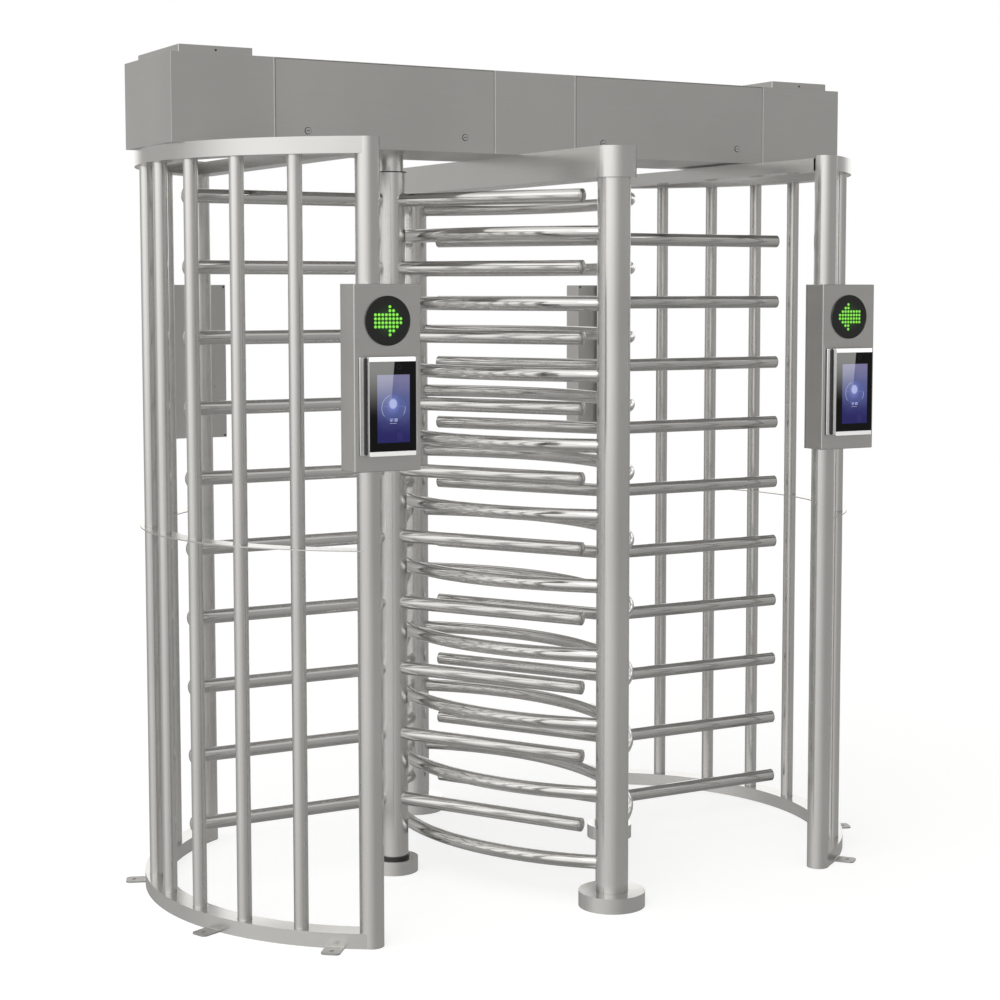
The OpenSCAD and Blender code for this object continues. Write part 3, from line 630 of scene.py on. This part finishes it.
def arm_seam(axis, turn):
    """The seam of a level arm on the upright column."""
    out = Vector((math.cos(turn), math.sin(turn), 0.0))
    side = Vector((-math.sin(turn), math.cos(turn), 0.0))
    seam = []
    for i in range(SEAM_STEPS):
        t = 2 * math.pi * i / SEAM_STEPS
        across = ARM_R * math.cos(t)
        reach = math.sqrt(column_r ** 2 - across ** 2)
        seam.append(axis + out * reach + side * across + UP * (ARM_R * math.sin(t)))
    return seam


def draw_arm_welds(shape, side):
    low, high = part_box(side + "_rotor_arms")
    axis = middle_of(side + "_rotor_column")
    pitch = (high.z - low.z - 2 * ARM_R) / (ARM_COUNT - 1)
    for i in range(ARM_COUNT):
        level = Vector((axis.x, axis.y, high.z - ARM_R - i * pitch))
        for wing in range(WINGS):
            add_bead(shape, arm_seam(level, math.radians(FIRST_WING[side] + wing * 360 / WINGS)))
    print(side, "arm welds at pitch", round(pitch, 4))


for side in ("left", "right"):
    welds = new_mesh(side + "_rotor_welds", draw_arm_welds, side)
    finish_piece(welds, arm_steel, side + "_rotor", BEAD_SHARP)

# %% [markdown]
# The curved bars meet the barrier posts at a slant. In the plan, the end of each line along a
# bar is where two circles cross, the line's own circle and the post's. The sides of the
# triangle between the two middles and that point are all known, so its angle follows. A round
# bead joins each post to the beam on top.

# %% Welds of the curved bars
POST_SEAM_STEPS = 48

barrier_low, barrier_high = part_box("barrier_posts")
post_r = (barrier_high.x - barrier_low.x) / 2
post_y = barrier_high.y - post_r


def bar_seam(bulge, level, post_side):
    """The seam of a curved bar on a barrier post. bulge is the way of its middle along X."""
    reach = abs(bulge)
    bend_r = (post_y ** 2 + reach ** 2) / (2 * reach)
    centre_x = reach - bend_r
    to_post = math.hypot(centre_x, post_y)
    post_turn = math.atan2(post_y, -centre_x)
    seam = []
    for i in range(SEAM_STEPS):
        t = 2 * math.pi * i / SEAM_STEPS
        own_r = bend_r + ARM_R * math.cos(t)
        gap = math.acos((to_post ** 2 + own_r ** 2 - post_r ** 2) / (2 * to_post * own_r))
        turn = post_turn - gap
        x = math.copysign(1.0, bulge) * (centre_x + own_r * math.cos(turn))
        y = post_side * own_r * math.sin(turn)
        seam.append(Vector((x, y, level + ARM_R * math.sin(t))))
    return seam


def round_seam(middle, radius, count):
    turns = [2 * math.pi * i / count for i in range(count)]
    return [middle + Vector((radius * math.cos(t), radius * math.sin(t), 0.0)) for t in turns]


def draw_barrier_welds(shape):
    for name, sign in (("barrier_bars_left", -1), ("barrier_bars_right", 1)):
        low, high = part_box(name)
        reach = (high.x if sign > 0 else -low.x) - ARM_R
        pitch = (high.z - low.z - 2 * ARM_R) / (ARM_COUNT - 1)
        for i in range(ARM_COUNT):
            for post_side in (-1, 1):
                add_bead(shape, bar_seam(sign * reach, high.z - ARM_R - i * pitch, post_side))
    for post_side in (-1, 1):
        post_top = Vector((0, post_side * post_y, barrier_high.z))
        add_bead(shape, round_seam(post_top, post_r, POST_SEAM_STEPS))


barrier_welds = new_mesh("barrier_welds", draw_barrier_welds)
finish_piece(barrier_welds, arm_steel, "frame", BEAD_SHARP)
print("barrier posts", round(post_r * 2, 4), "m thick")

# %% [markdown]
# Each upright bar of a cage is welded to the floor band, to both faces of the thin ring at mid
# height and to the top band. Each anchor tab has one short bead where its top meets the band.
# The tabs stand at two angles from the gate's long axis, to the front and to the rear.

# %% Welds of the cages
CAGE_BARS = 7
CAGE_SEAM_STEPS = 40
TAB_W = 0.050
TAB_TURNS = (21.7, 51.4)
TAB_BEAD_R = 0.002
TAB_STEPS = 12

rotor_x = middle_of("right_rotor_column").x
bar_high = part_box("right_cage_bars")[1]
cage_r = bar_high.x - ARM_R - rotor_x
last_bar_turn = math.asin((bar_high.y - ARM_R) / cage_r)
ring_low, ring_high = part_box("cage_mid_rings")
band_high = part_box("cage_floor_bands")[1]
band_r = band_high.x - rotor_x
tab_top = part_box("anchor_tabs")[1].z
bar_weld_heights = (band_high.z, ring_low.z, ring_high.z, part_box("cage_top_bands")[0].z)


def tab_seam(side, turn):
    """The short seam where a floor tab meets the outside of its band."""
    spread = TAB_W / 2 / band_r
    seam = []
    for i in range(TAB_STEPS + 1):
        t = math.radians(turn) + spread * (2 * i / TAB_STEPS - 1)
        seam.append(Vector((side * (rotor_x + band_r * math.cos(t)), band_r * math.sin(t), tab_top)))
    return seam


def draw_cage_welds(shape):
    for side in (-1, 1):
        for i in range(CAGE_BARS):
            turn = -last_bar_turn + 2 * last_bar_turn * i / (CAGE_BARS - 1)
            x = side * (rotor_x + cage_r * math.cos(turn))
            for z in bar_weld_heights:
                seam = round_seam(Vector((x, cage_r * math.sin(turn), z)), ARM_R, CAGE_SEAM_STEPS)
                add_bead(shape, seam)
        for turn in (t * s for t in TAB_TURNS for s in (-1, 1)):
            add_bead(shape, tab_seam(side, turn), TAB_BEAD_R, closed=False)


cage_welds = new_mesh("cage_welds", draw_cage_welds)
finish_piece(cage_welds, tube_steel, "frame", BEAD_SHARP)
print("cage bars at radius", round(cage_r, 4))

# %% [markdown]
# ## Folded edges
#
# The canopy is folded from thin sheet, so none of its edges is knife sharp: each has a small radius that
# catches a line of light. The solids come with square edges, and their meshes stay as they are. Two modifiers
# do the work: one joins doubled points, and a narrow bevel follows. The bevel gets a paler steel than the
# sheet, so the line along each edge is partly a painted highlight.

# %% Folded edges of the canopy
FOLD_W = 0.002
FOLD_STEPS = 2
FOLD_ANGLE = math.radians(50)
SAME_POINT = 0.00001


def fold_edges(*names):
    for name in names:
        piece = nodes[name]
        join = piece.modifiers.new("join", "WELD")
        join.merge_threshold = SAME_POINT
        fold = piece.modifiers.new("fold", "BEVEL")
        fold.width = FOLD_W
        fold.segments = FOLD_STEPS
        fold.limit_method = "ANGLE"
        fold.angle_limit = FOLD_ANGLE
        fold.use_clamp_overlap = True
        fold.harden_normals = True
        # The bevel faces get the paler steel, a painted highlight along the edge.
        piece.data.materials.append(painted_highlight_steel)
        fold.material = len(piece.data.materials) - 1


fold_edges("canopy_lids", "canopy_end_blocks", "canopy_middle", "left_access_panel", "right_access_panel")
print("edges folded")

# %% [markdown]
# Beside each seam of the canopy's front the fixed block is folded back, and the fold stands a little proud of
# the flat sheet. Each fold is drawn as a straight thin bead on the block's side of the seam, so the panel
# swings clear of it. The seams show as light lines partly from light on the round bead and partly from a
# painted highlight, since the bead gets the paler steel.

# %% Folds beside the seams
SEAM_FOLD_R = 0.0010
SEAM_CLEAR = 0.0004


def draw_seam_folds(shape):
    low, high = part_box("canopy_middle")
    for panel in ("left_access_panel", "right_access_panel"):
        for corner, away in zip(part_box(panel), (-1, 1)):
            x = corner.x + away * (SEAM_CLEAR + SEAM_FOLD_R)
            seam = [Vector((x, low.y, z)) for z in (low.z + SEAM_FOLD_R, high.z - SEAM_FOLD_R)]
            add_bead(shape, seam, SEAM_FOLD_R, closed=False, ripple=0.0)


seam_folds = new_mesh("canopy_seam_folds", draw_seam_folds)
finish_piece(seam_folds, painted_highlight_steel, "frame", BEAD_SHARP)
print("seam folds drawn")

# %% [markdown]
# ## Arrow lights
#
# Each arrow is a group of round lamps on a black disc. A lamp is a clear green lens with a
# tiny light under it, brightest in the middle and dimmer towards its rim. The lens is a flat
# dome turned from a short profile. Its brightness follows the slope of the dome, so the middle
# glows and the rim is deep green, from whichever side it is seen.
#
# A lens is placed where each lamp of the solid is. One node holds all the lamps, so the first
# helper finds its loose parts by walking along the edges.

# %% Loose parts and domes
def islands(mesh):
    """The middle and the size of each loose part of a mesh."""
    shape = bmesh.new()
    shape.from_mesh(mesh)
    bmesh.ops.remove_doubles(shape, verts=shape.verts, dist=SAME_POINT)
    left_over = set(shape.verts)
    found = []
    while left_over:
        group = [left_over.pop()]
        for vert in group:
            for edge in vert.link_edges:
                other = edge.other_vert(vert)
                if other in left_over:
                    left_over.remove(other)
                    group.append(other)
        low = Vector(min(v.co[k] for v in group) for k in range(3))
        high = Vector(max(v.co[k] for v in group) for k in range(3))
        found.append(((low + high) / 2, high - low))
    shape.free()
    return sorted(found, key=lambda f: tuple(round(c, 5) for c in f[0]))


def add_dome(shape, foot, out, radius, rise, sides, steps):
    """A flat dome on a foot point, facing out."""
    side = out.orthogonal().normalized()
    other = out.cross(side)
    rings = []
    for k in range(steps):
        t = math.pi / 2 * k / steps
        rings.append(ring(shape, foot + out * (rise * math.sin(t)), side, other, radius * math.cos(t), sides))
    skin(shape, rings)
    top = shape.verts.new(foot + out * rise)
    for i, point in enumerate(rings[-1]):
        shape.faces.new((point, rings[-1][(i + 1) % sides], top))
    shape.faces.new(rings[0][::-1])


def way_out(middle):
    """Out to the front or the rear, whichever a place is nearer to."""
    return Vector((0, math.copysign(1.0, middle.y), 0))


lamps = islands(nodes["arrow_lamps"].data)
print("lamps", len(lamps))

# %% [markdown]
# The lens material reads the slope from the object's own normal, never from the camera, so the
# glow stays in place when the view moves.

# %% Lamp lenses
LENS_SIDES = 20
LENS_STEPS = 5
RIM_GREEN = (0.05, 0.27, 0.012, 1.0)
MIDDLE_GREEN = (0.27, 0.60, 0.07, 1.0)


def lens_finish():
    made, place, surface = new_finish("lamp_lens", (0.05, 0.42, 0.02), 0.16, Coat_Weight=0.6,
                                      Emission_Strength=1.0)
    slope = place.other("Normal").axis("Y")
    facing = slope.node("ShaderNodeMath", {0: slope}, operation="ABSOLUTE")
    grain = place.noise(900.0)
    middle = facing.step(0.80, 1.0) + (grain - 0.5) * 0.15
    plug(middle.mix(RIM_GREEN, MIDDLE_GREEN), surface, "Emission Color")
    emboss(surface, grain, 0.05, 0.0005)
    return made


def draw_lenses(shape):
    for middle, size in lamps:
        out = way_out(middle)
        add_dome(shape, middle - out * size.y / 2, out, size.x / 2, size.y, LENS_SIDES, LENS_STEPS)


lenses = new_mesh("lamp_lenses", draw_lenses)
finish_piece(lenses, lens_finish(), "frame", DOME_SHARP)
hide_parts("arrow_lamps")
print("lens rise", round(lamps[0][1].y, 4))

# %% [markdown]
# The disc behind the lamps is glossy black with a raised rim. The green light that the lamps throw on it is
# painted into its colour as a faint glow round the middle. Each disc has its own origin, so that the glow can
# be painted by distance.

# %% Discs
DISC_SIDES = 72
RIM_W = 0.0022
RIM_EDGE = 0.0006
RIM_STEP = 0.0005
LAMP_GLOW_FADES = (0.045, 0.012)
BLACK = (0.0, 0.0, 0.0, 1.0)


def disc_finish():
    made, place, surface = new_finish("arrow_disc_black", (0.011, 0.012, 0.011), 0.16, Coat_Weight=0.15,
                                      Specular_IOR_Level=0.4, Emission_Strength=1.0)
    grain = place.noise(260.0)
    # Painted light: the lamps' green glow on the disc, fading with distance from its middle.
    painted_lamp_glow = place.length().step(*LAMP_GLOW_FADES)
    plug(painted_lamp_glow.mix(BLACK, (0.006, 0.032, 0.004, 1.0)), surface, "Emission Color")
    plug(0.16 + (grain - 0.5) * 0.06, surface, "Roughness")
    emboss(surface, grain, 0.04, 0.0005)
    return made


def add_turned(shape, profile, out, sides):
    """A round shape turned about an axis. The profile holds pairs of radius and way out."""
    side = out.orthogonal().normalized()
    rings = [ring(shape, out * way, side, out.cross(side), radius, sides) for radius, way in profile]
    skin(shape, rings)
    close(shape, rings)


def disc_profile(radius, face):
    inner = radius - RIM_W
    return ((radius, -face), (radius, face - RIM_EDGE), (radius - RIM_EDGE, face), (inner, face),
            (inner - RIM_STEP, face - RIM_EDGE))


disc_black = disc_finish()
discs = islands(nodes["arrow_discs"].data)
for number, (middle, size) in enumerate(discs):
    profile = disc_profile(size.x / 2, size.y / 2)
    disc = new_mesh("arrow_disc_" + str(number + 1), add_turned, profile, way_out(middle), DISC_SIDES)
    disc.location = middle
    finish_piece(disc, disc_black, "frame")
    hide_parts("arrow_discs")
print("discs", len(discs))

# %% [markdown]
# ## Cases with round corners
#
# Reader boxes and terminals are all flat slabs with round corners and a softened edge, so one
# function draws them. It lays a rounded outline in steps along a quarter circle at each face,
# so that the edge turns evenly from the side to the face.

# %% A slab with round corners
CORNER_STEPS = 5
LEAST_CORNER_R = 0.0001
CORNERS = ((0, 1, 1), (90, -1, 1), (180, -1, -1), (270, 1, -1))


def add_slab(shape, middle, half_w, half_h, back, front, corner, edge, steps=1):
    """A slab with round corners. X is to the right, Z up, and the way out is towards -Y."""
    profile = []
    for k in range(steps + 1):
        t = math.pi / 2 * k / steps
        profile.append((edge * (1 - math.sin(t)), back + edge * (1 - math.cos(t))))
    profile += [(inset, front + back - way) for inset, way in reversed(profile)]
    rings = []
    for inset, way in profile:
        round_r = max(corner - inset, LEAST_CORNER_R)
        outline = []
        for first_turn, to_right, up in CORNERS:
            for k in range(CORNER_STEPS + 1):
                t = math.radians(first_turn + 90 * k / CORNER_STEPS)
                x = middle[0] + to_right * (half_w - inset - round_r) + round_r * math.cos(t)
                z = middle[1] + up * (half_h - inset - round_r) + round_r * math.sin(t)
                outline.append(shape.verts.new((x, -way, z)))
        rings.append(outline)
    skin(shape, rings)
    close(shape, rings)


print("slab corners have", CORNER_STEPS, "steps")

# %% [markdown]
# The reader boxes are folded from 2 mm sheet, which bends with a radius of about 3 mm. A bevel
# on the solid would be stopped by its own wall, so each box is drawn again as a slab with that
# radius. The folded edge towards the window catches one fine line of light. A slab is drawn as
# its user sees it, and a rear one is then turned half round.

# %% Reader boxes
BEND_R = 0.003
BEND_STEPS = 3
CENTRED = (0, 0)


def placed(middle, rear):
    """The matrix of a front or rear piece about its middle."""
    return Matrix.Translation(middle) @ Matrix.Rotation(math.pi if rear else 0.0, 4, "Z")


for node in reader_boxes:
    low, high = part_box(node)
    half = (high - low) / 2
    box = new_mesh(node + "_folded", add_slab, CENTRED, half.x, half.z, -half.y, half.y, BEND_R, BEND_R,
                   BEND_STEPS)
    box.matrix_world = placed((low + high) / 2, node.endswith("rear"))
    finish_piece(box, sheet_steel, "frame")
    box.modifiers.new("flat_faces", "WEIGHTED_NORMAL").keep_sharp = True
    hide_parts(node)
print("reader boxes folded")

# %% [markdown]
# ## Reader terminals
#
# A terminal is a silver frame on a dark neck, with a black glass in front, a bright strip at
# its top and foot, and a wider case behind. The outside is measured on the solids. How the
# depth divides between frame, neck and case is given here. Depths are counted from the middle
# of the glass, and towards the user is more.

# %% Terminal sizes
FRAME_T = 0.016
NECK_T = 0.004
NECK_OVER = 0.004
CONTACT_SHADE_T = 0.003
CASE_OVER = 0.003
SUNK = 0.0002

glasses = islands(nodes["terminal_screens"].data)
glass_w, glass_t, glass_h = glasses[0][1]
case_w, case_h = islands(nodes["terminal_cases"].data)[0][1].xz
strip_h = (case_h - glass_h) / 2
terminal_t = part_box("terminal_screens")[1].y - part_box("reader_box_left_rear")[1].y
glass_face = glass_t / 2
frame_back = glass_face - glass_t - FRAME_T
neck_back = frame_back - NECK_T
case_back = glass_face - terminal_t
print("terminals", len(glasses), "glass", round(glass_w, 4), round(glass_h, 4), "depth", round(terminal_t, 4))

# %% [markdown]
# The glass shows a standby picture: a violet gradient, a pale oval in a broken ring, and a clock. A picture
# file isn't needed. The masks are worked out from the place on the glass, in metres from its middle, and each
# mask lays one colour over the last. An oval is given by the X and Z of its middle, its half width and its
# half height. A painted reflection, a pale slanted band, lies over the left half of the glass and fades
# downwards.

# %% The standby picture
REFLECTION_LEAN = 0.0905
REFLECTION_EDGE = -0.0056
REFLECTION_SOFT = 0.0006
DISPLAY_X = (-0.0427, 0.0453)
DISPLAY_Z = (-0.0883, 0.0777)
DISPLAY_SOFT = 0.0006
PATCH = (0.018, -0.073, 0.0085, 0.0115)
RING = (0.001, -0.0033, 0.0322, 0.0322)
HALO = (0.0, 0.004, 0.020, 0.028)
OVAL = (0.0, 0.0067, 0.0112, 0.0132)
LENS_EYE = (0.0167, 0.0967, 0.0062, 0.0062)


def away(place, x, z, wide, high):
    """How far a place is from the middle of an oval, with 1 on its edge."""
    return ((place - (x, 0.0, z)) * (1 / wide, 0.0, 1 / high)).length()


def standby_sky(place, x, z):
    """The violet gradient with its darker patch."""
    level = z + (place.noise(28.0) - 0.5) * 0.03 + x * 0.1
    sky = level.step(-0.075, 0.02).mix((0.018, 0.016, 0.108, 1.0), (0.092, 0.108, 0.272, 1.0))
    sky = level.step(0.015, 0.075).mix(sky, (0.182, 0.176, 0.318, 1.0))
    patch = away(place, *PATCH).step(1.1, 0.9) * 0.35
    return patch.mix(sky, (0.045, 0.036, 0.170, 1.0))


def standby_marks(place, x, z, sky):
    """The ring, its two bright arcs, the dashed line and the pale oval, over the gradient."""
    from_ring = away(place, *RING)
    sky = (from_ring.step(1.04, 1.0) * 0.22).mix(sky, (0.12, 0.17, 0.48, 1.0))
    line = from_ring.between(0.975, 1.0, 0.02)
    arcs = x.step(-0.004, -0.014) * z.step(-0.026, -0.020) + x.step(0.026, 0.030) * z.step(0.001, -0.003)
    sky = (line * arcs).mix(sky, (0.58, 0.66, 0.95, 1.0))
    dash = z.between(0.0, 0.0006, 0.0003) * x.between(-0.030, 0.031, 0.006) * 0.35
    sky = dash.mix(sky, (0.45, 0.55, 0.95, 1.0))
    halo = away(place, *HALO).step(1.1, 0.3) * 0.35
    sky = halo.mix(sky, (0.25, 0.30, 0.80, 1.0))
    oval = away(place, *OVAL).step(1.12, 0.72)
    return oval.mix(sky, (0.42, 0.47, 0.78, 1.0))


print("picture", round(DISPLAY_X[1] - DISPLAY_X[0], 4), "m wide")

# %% [markdown]
# Round the picture the glass is black, with a small camera lens above it, and the painted reflection lies
# over that black rim too. Both parts are emission, so that they keep their colours, and the glass itself adds
# a weak gloss.

# %% Glass
def glass_finish():
    made, place, surface = new_finish("screen_picture", (0.006, 0.006, 0.007), 0.08,
                                      Specular_IOR_Level=0.15, Emission_Strength=1.0)
    x = place.axis("X")
    z = place.axis("Z")
    # Painted reflection: a pale slanted band over the left half of the glass, fading downwards.
    painted_reflection = (x - z * REFLECTION_LEAN).step(REFLECTION_EDGE + REFLECTION_SOFT, REFLECTION_EDGE - REFLECTION_SOFT) * z.step(-0.03, 0.10)
    sky = standby_marks(place, x, z, standby_sky(place, x, z))
    sky = (painted_reflection * 0.62).mix(sky, (0.52, 0.53, 0.62, 1.0))
    shown = x.between(*DISPLAY_X, DISPLAY_SOFT) * z.between(*DISPLAY_Z, DISPLAY_SOFT)
    # The painted reflection is laid over the black rim as well.
    rim = painted_reflection.mix(BLACK, (0.235, 0.235, 0.225, 1.0))
    eye = away(place, *LENS_EYE)
    rim = (eye.between(0.80, 1.0, 0.08) * 0.6).mix(rim, (0.030, 0.032, 0.034, 1.0))
    plug(shown.mix(rim, sky), surface, "Emission Color")
    grain = place.noise(240.0)
    plug(0.08 + (grain - 0.5) * 0.05, surface, "Roughness")
    emboss(surface, grain, 0.01, 0.0005)
    return made


picture = glass_finish()
print("glass has", len(picture.node_tree.nodes), "nodes")

# %% [markdown]
# The strip at each end of the glass is a soft fill light behind milky plastic, and the clock
# glows pale violet. Both get a little grain, since a flat colour looks like paper.

# %% Fill light and clock glow
def clock_finish():
    made, place, surface = new_finish("clock_glow", (0.3, 0.32, 0.4), 0.5, Emission_Strength=1.0)
    colour = place.noise(700.0, 1.0).mix((0.36, 0.40, 0.68, 1.0), (0.52, 0.56, 0.86, 1.0))
    plug(colour, surface, "Emission Color")
    return made


def fill_light_finish():
    made, place, surface = new_finish("fill_light", (0.80, 0.80, 0.80), 0.35, Emission_Strength=1.0)
    grain = place.noise(500.0)
    lit = place.axis("Z").step(-0.08, 0.08).mix((0.22, 0.22, 0.22, 1.0), (0.55, 0.55, 0.55, 1.0))
    plug((grain * 0.06).mix(lit, BLACK), surface, "Emission Color")
    plug(0.35 + (grain - 0.5) * 0.1, surface, "Roughness")
    return made


clock_glow = clock_finish()
fill_light = fill_light_finish()
print("glows ready")

# %% [markdown]
# The clock's digits are seven short strokes each, as on any plain clock. A stroke has a place
# in its digit, counted in halves of the digit's width and height, and lies level or upright.

# %% Clock
STROKES = {"a": (0, 1, "level"), "b": (1, 0.5, "up"), "c": (1, -0.5, "up"), "d": (0, -1, "level"),
           "e": (-1, -0.5, "up"), "f": (-1, 0.5, "up"), "g": (0, 0, "level")}
DIGITS = {0: "abcdef", 1: "bc", 2: "abged", 3: "abgcd"}
CLOCK = ((-0.0092, 1), (-0.0040, 2), (0.0046, 3), (0.0098, 0))
CLOCK_Z = -0.033
COLON_X = 0.0003
DIGIT_W = 0.0034
DIGIT_H = 0.0074
STROKE = 0.0008
DASHES = 7
DASH_W = 0.0019
DASH_H = 0.0009
DASH_PITCH = 0.0027
DASH_Z = CLOCK_Z - DIGIT_H * 1.12
GLOW_T = 0.0001
STROKE_EDGE = (0.0003, 0.00002)


def add_stroke(shape, x, z, wide, high):
    add_slab(shape, (x, z), wide / 2, high / 2, glass_face, glass_face + GLOW_T, *STROKE_EDGE)


def draw_clock(shape):
    for x, digit in CLOCK:
        for name in DIGITS[digit]:
            right, up, lie = STROKES[name]
            wide, high = (DIGIT_W, STROKE) if lie == "level" else (STROKE, DIGIT_H / 2)
            stroke_x = x + right * (DIGIT_W - STROKE) / 2
            add_stroke(shape, stroke_x, CLOCK_Z + up * (DIGIT_H - STROKE) / 2, wide, high)
    for up in (-1, 1):
        add_stroke(shape, COLON_X, CLOCK_Z + up * DIGIT_H / 5, STROKE, STROKE)
    for i in range(DASHES):
        add_stroke(shape, (i - (DASHES - 1) / 2) * DASH_PITCH, DASH_Z, DASH_W, DASH_H)


print("clock of", len(CLOCK), "digits")

# %% [markdown]
# Each terminal is seven pieces. All but the strips and the clock are one slab each, so they
# fit in a table: the half width and half height, the back and the front, and a pair of corner
# radius and edge. A piece is drawn about the middle of its glass and placed like a reader box.

# %% Terminals
STRIP_IN_X = 0.0005
STRIP_IN_Z = 0.0004
GLASS_EDGE = (0.0008, 0.0004)
STRIP_EDGE = (0.0018, 0.0009)
FRAME_EDGE = (0.0025, 0.0008)
NECK_EDGE = (0.003, 0.0002)
CASE_EDGE = (0.004, 0.0015)


def draw_strips(shape):
    for up in (-1, 1):
        add_slab(shape, (0, up * (glass_h + strip_h) / 2), glass_w / 2 - STRIP_IN_X,
                 strip_h / 2 - STRIP_IN_Z, -glass_face, glass_face, *STRIP_EDGE)


glass_slab = (CENTRED, glass_w / 2, glass_h / 2, -glass_face, glass_face, *GLASS_EDGE)
frame_slab = (CENTRED, glass_w / 2, case_h / 2, frame_back, -glass_face, *FRAME_EDGE)
neck_slab = (CENTRED, glass_w / 2 + NECK_OVER, case_h / 2 - CASE_OVER, neck_back - SUNK, frame_back + SUNK,
             *NECK_EDGE)
case_slab = (CENTRED, case_w / 2 + CASE_OVER, case_h / 2, case_back + CONTACT_SHADE_T, neck_back, *CASE_EDGE)
# A dark slab between the case and the box: painted shade for the contact shadow there.
contact_shade_slab = (CENTRED, case_w / 2, case_h / 2 - CASE_OVER, case_back, case_back + CONTACT_SHADE_T + SUNK, *NECK_EDGE)

for number, (middle, size) in enumerate(glasses):
    for name, draw, sizes, finish, slot, stands_for in (
            ("terminal_glass", add_slab, glass_slab, picture, "screen_glass", "terminal_screens"),
            ("terminal_ends", draw_strips, (), fill_light, "alloy_case", "terminal_strips"),
            ("terminal_frame", add_slab, frame_slab, silver_alloy, "alloy_case", "terminal_fronts"),
            ("terminal_neck", add_slab, neck_slab, neck_black, "black_plastic", "terminal_fronts"),
            ("terminal_back", add_slab, case_slab, silver_alloy, "alloy_case", "terminal_cases"),
            ("terminal_contact_shade", add_slab, contact_shade_slab, neck_black, "black_plastic", "terminal_cases"),
            ("terminal_clock", draw_clock, (), clock_glow, "green_lamps", None)):
        piece = new_mesh(name + "_" + str(number + 1), draw, *sizes)
        piece.matrix_world = placed(middle, middle.y > 0)
        finish_piece(piece, finish, "frame")
        if stands_for:
            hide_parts(stands_for)
    print("terminal", number + 1, "at", [round(c, 3) for c in middle])

# %% [markdown]
# ## Panel fasteners
#
# Each access panel is held by two quarter turn fasteners. A thin black ring round each head, which stays with
# the panel, is painted shade for the dark gap round the head. The ring has a rounded face. The slot for its
# key is darkened by a small black plate on its floor, painted shade for the depth of the slot, and the plate
# turns with the head.

# %% Shade rings and slot plates
HEAD_SHADE_OUT = 0.0095
HEAD_SHADE_IN = 0.0079
HEAD_SHADE_T = 0.0012
HEAD_SHADE_SHOULDER = HEAD_SHADE_T * 0.6
ROUND_OUT = 0.0005
ROUND_IN = 0.0003
HEAD_SHADE_SIDES = 40
KEY_L = 0.0098
KEY_W = 0.0019
KEY_DEEP = 0.0012
KEY_EDGE = (0.0002, 0.00005)
SLOT_SHADE_T = 0.0003


def draw_head_shade_ring(shape):
    profile = ((HEAD_SHADE_OUT, 0.0), (HEAD_SHADE_OUT, HEAD_SHADE_SHOULDER), (HEAD_SHADE_OUT - ROUND_OUT, HEAD_SHADE_T),
               (HEAD_SHADE_IN + ROUND_IN, HEAD_SHADE_T), (HEAD_SHADE_IN, HEAD_SHADE_SHOULDER), (HEAD_SHADE_IN, 0.0))
    rings = [ring(shape, Vector((0, -way, 0)), Vector((1, 0, 0)), UP, radius, HEAD_SHADE_SIDES)
             for radius, way in profile]
    skin(shape, rings + rings[:1])


for side in ("left", "right"):
    panel_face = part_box(side + "_access_panel")[0].y
    for spot in ("outer", "inner"):
        lock = side + "_panel_lock_" + spot
        low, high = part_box(lock)
        head_x = low.x + (high.z - low.z) / 2
        head_z = (low.z + high.z) / 2
        # A black ring round the head: painted shade for the gap round it.
        head_shade_ring = new_mesh(lock + "_gasket", draw_head_shade_ring)
        head_shade_ring.location = (head_x, panel_face, head_z)
        finish_piece(head_shade_ring, seal_rubber, side + "_panel")
        # A black plate on the slot's floor: painted shade for the slot's depth.
        slot_shade_plate = new_mesh(lock + "_slot_shade_plate", add_slab, CENTRED, KEY_L / 2, KEY_W / 2, -SLOT_SHADE_T,
                              SLOT_SHADE_T, *KEY_EDGE)
        slot_shade_plate.location = (head_x, low.y + KEY_DEEP, head_z)
        finish_piece(slot_shade_plate, black_paint, side + "_" + spot + "_panel_lock")
        print(lock, "at", round(head_x, 3), round(head_z, 3))

# %% [markdown]
# ## Dark rings under the necks
#
# Where a column ends under its fixed neck, a dark ring stands for the shadow line in the joint: painted
# shade. It shows as one dark line round the tube. It turns with the column.

# %% Neck shade rings
SHADE_RING_R = 0.0435
SHADE_RING_T = 0.003
SHADE_RING_SUNK = 0.0005
SHADE_RING_LIP = 0.006
SHADE_RING_SIDES = 64

shade_ring_in = column_r - SHADE_RING_LIP
shade_ring_profile = ((shade_ring_in, 0.0), (SHADE_RING_R, 0.0), (SHADE_RING_R, SHADE_RING_T), (shade_ring_in, SHADE_RING_T))
for side in ("left", "right"):
    shade_ring = new_mesh(side + "_neck_shade_ring", add_turned, shade_ring_profile, UP, SHADE_RING_SIDES)
    foot = middle_of(side + "_rotor_column")
    shade_ring.location = (foot.x, foot.y, column_high.z - SHADE_RING_SUNK)
    finish_piece(shade_ring, seal_rubber, side + "_rotor")
print("washers at", round(column_high.z - SHADE_RING_SUNK, 4))

# %% [markdown]
# ## Case screws
#
# The screws of the canopy's lids have domed heads. They are only a few millimetres wide, but a
# round head catches a spark of light that a flat disc doesn't. The screws of the readers' back
# plates are let into the sheet: the same dome points into the plate, and its flat face shows.

# %% Screws
SCREW_RISE = 0.0020
SCREW_SIDES = 24
SCREW_STEPS = 4

screws = islands(nodes["case_screws"].data)


def draw_screws(shape):
    for middle, size in screws:
        out = way_out(middle)
        add_dome(shape, middle - out * size.y / 2, out, size.x / 2, SCREW_RISE, SCREW_SIDES, SCREW_STEPS)


screw_heads = new_mesh("screw_heads", draw_screws)
finish_piece(screw_heads, black_screw, "frame", DOME_SHARP)
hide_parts("case_screws")
print("screws", len(screws))

# %% End
print("scene built")
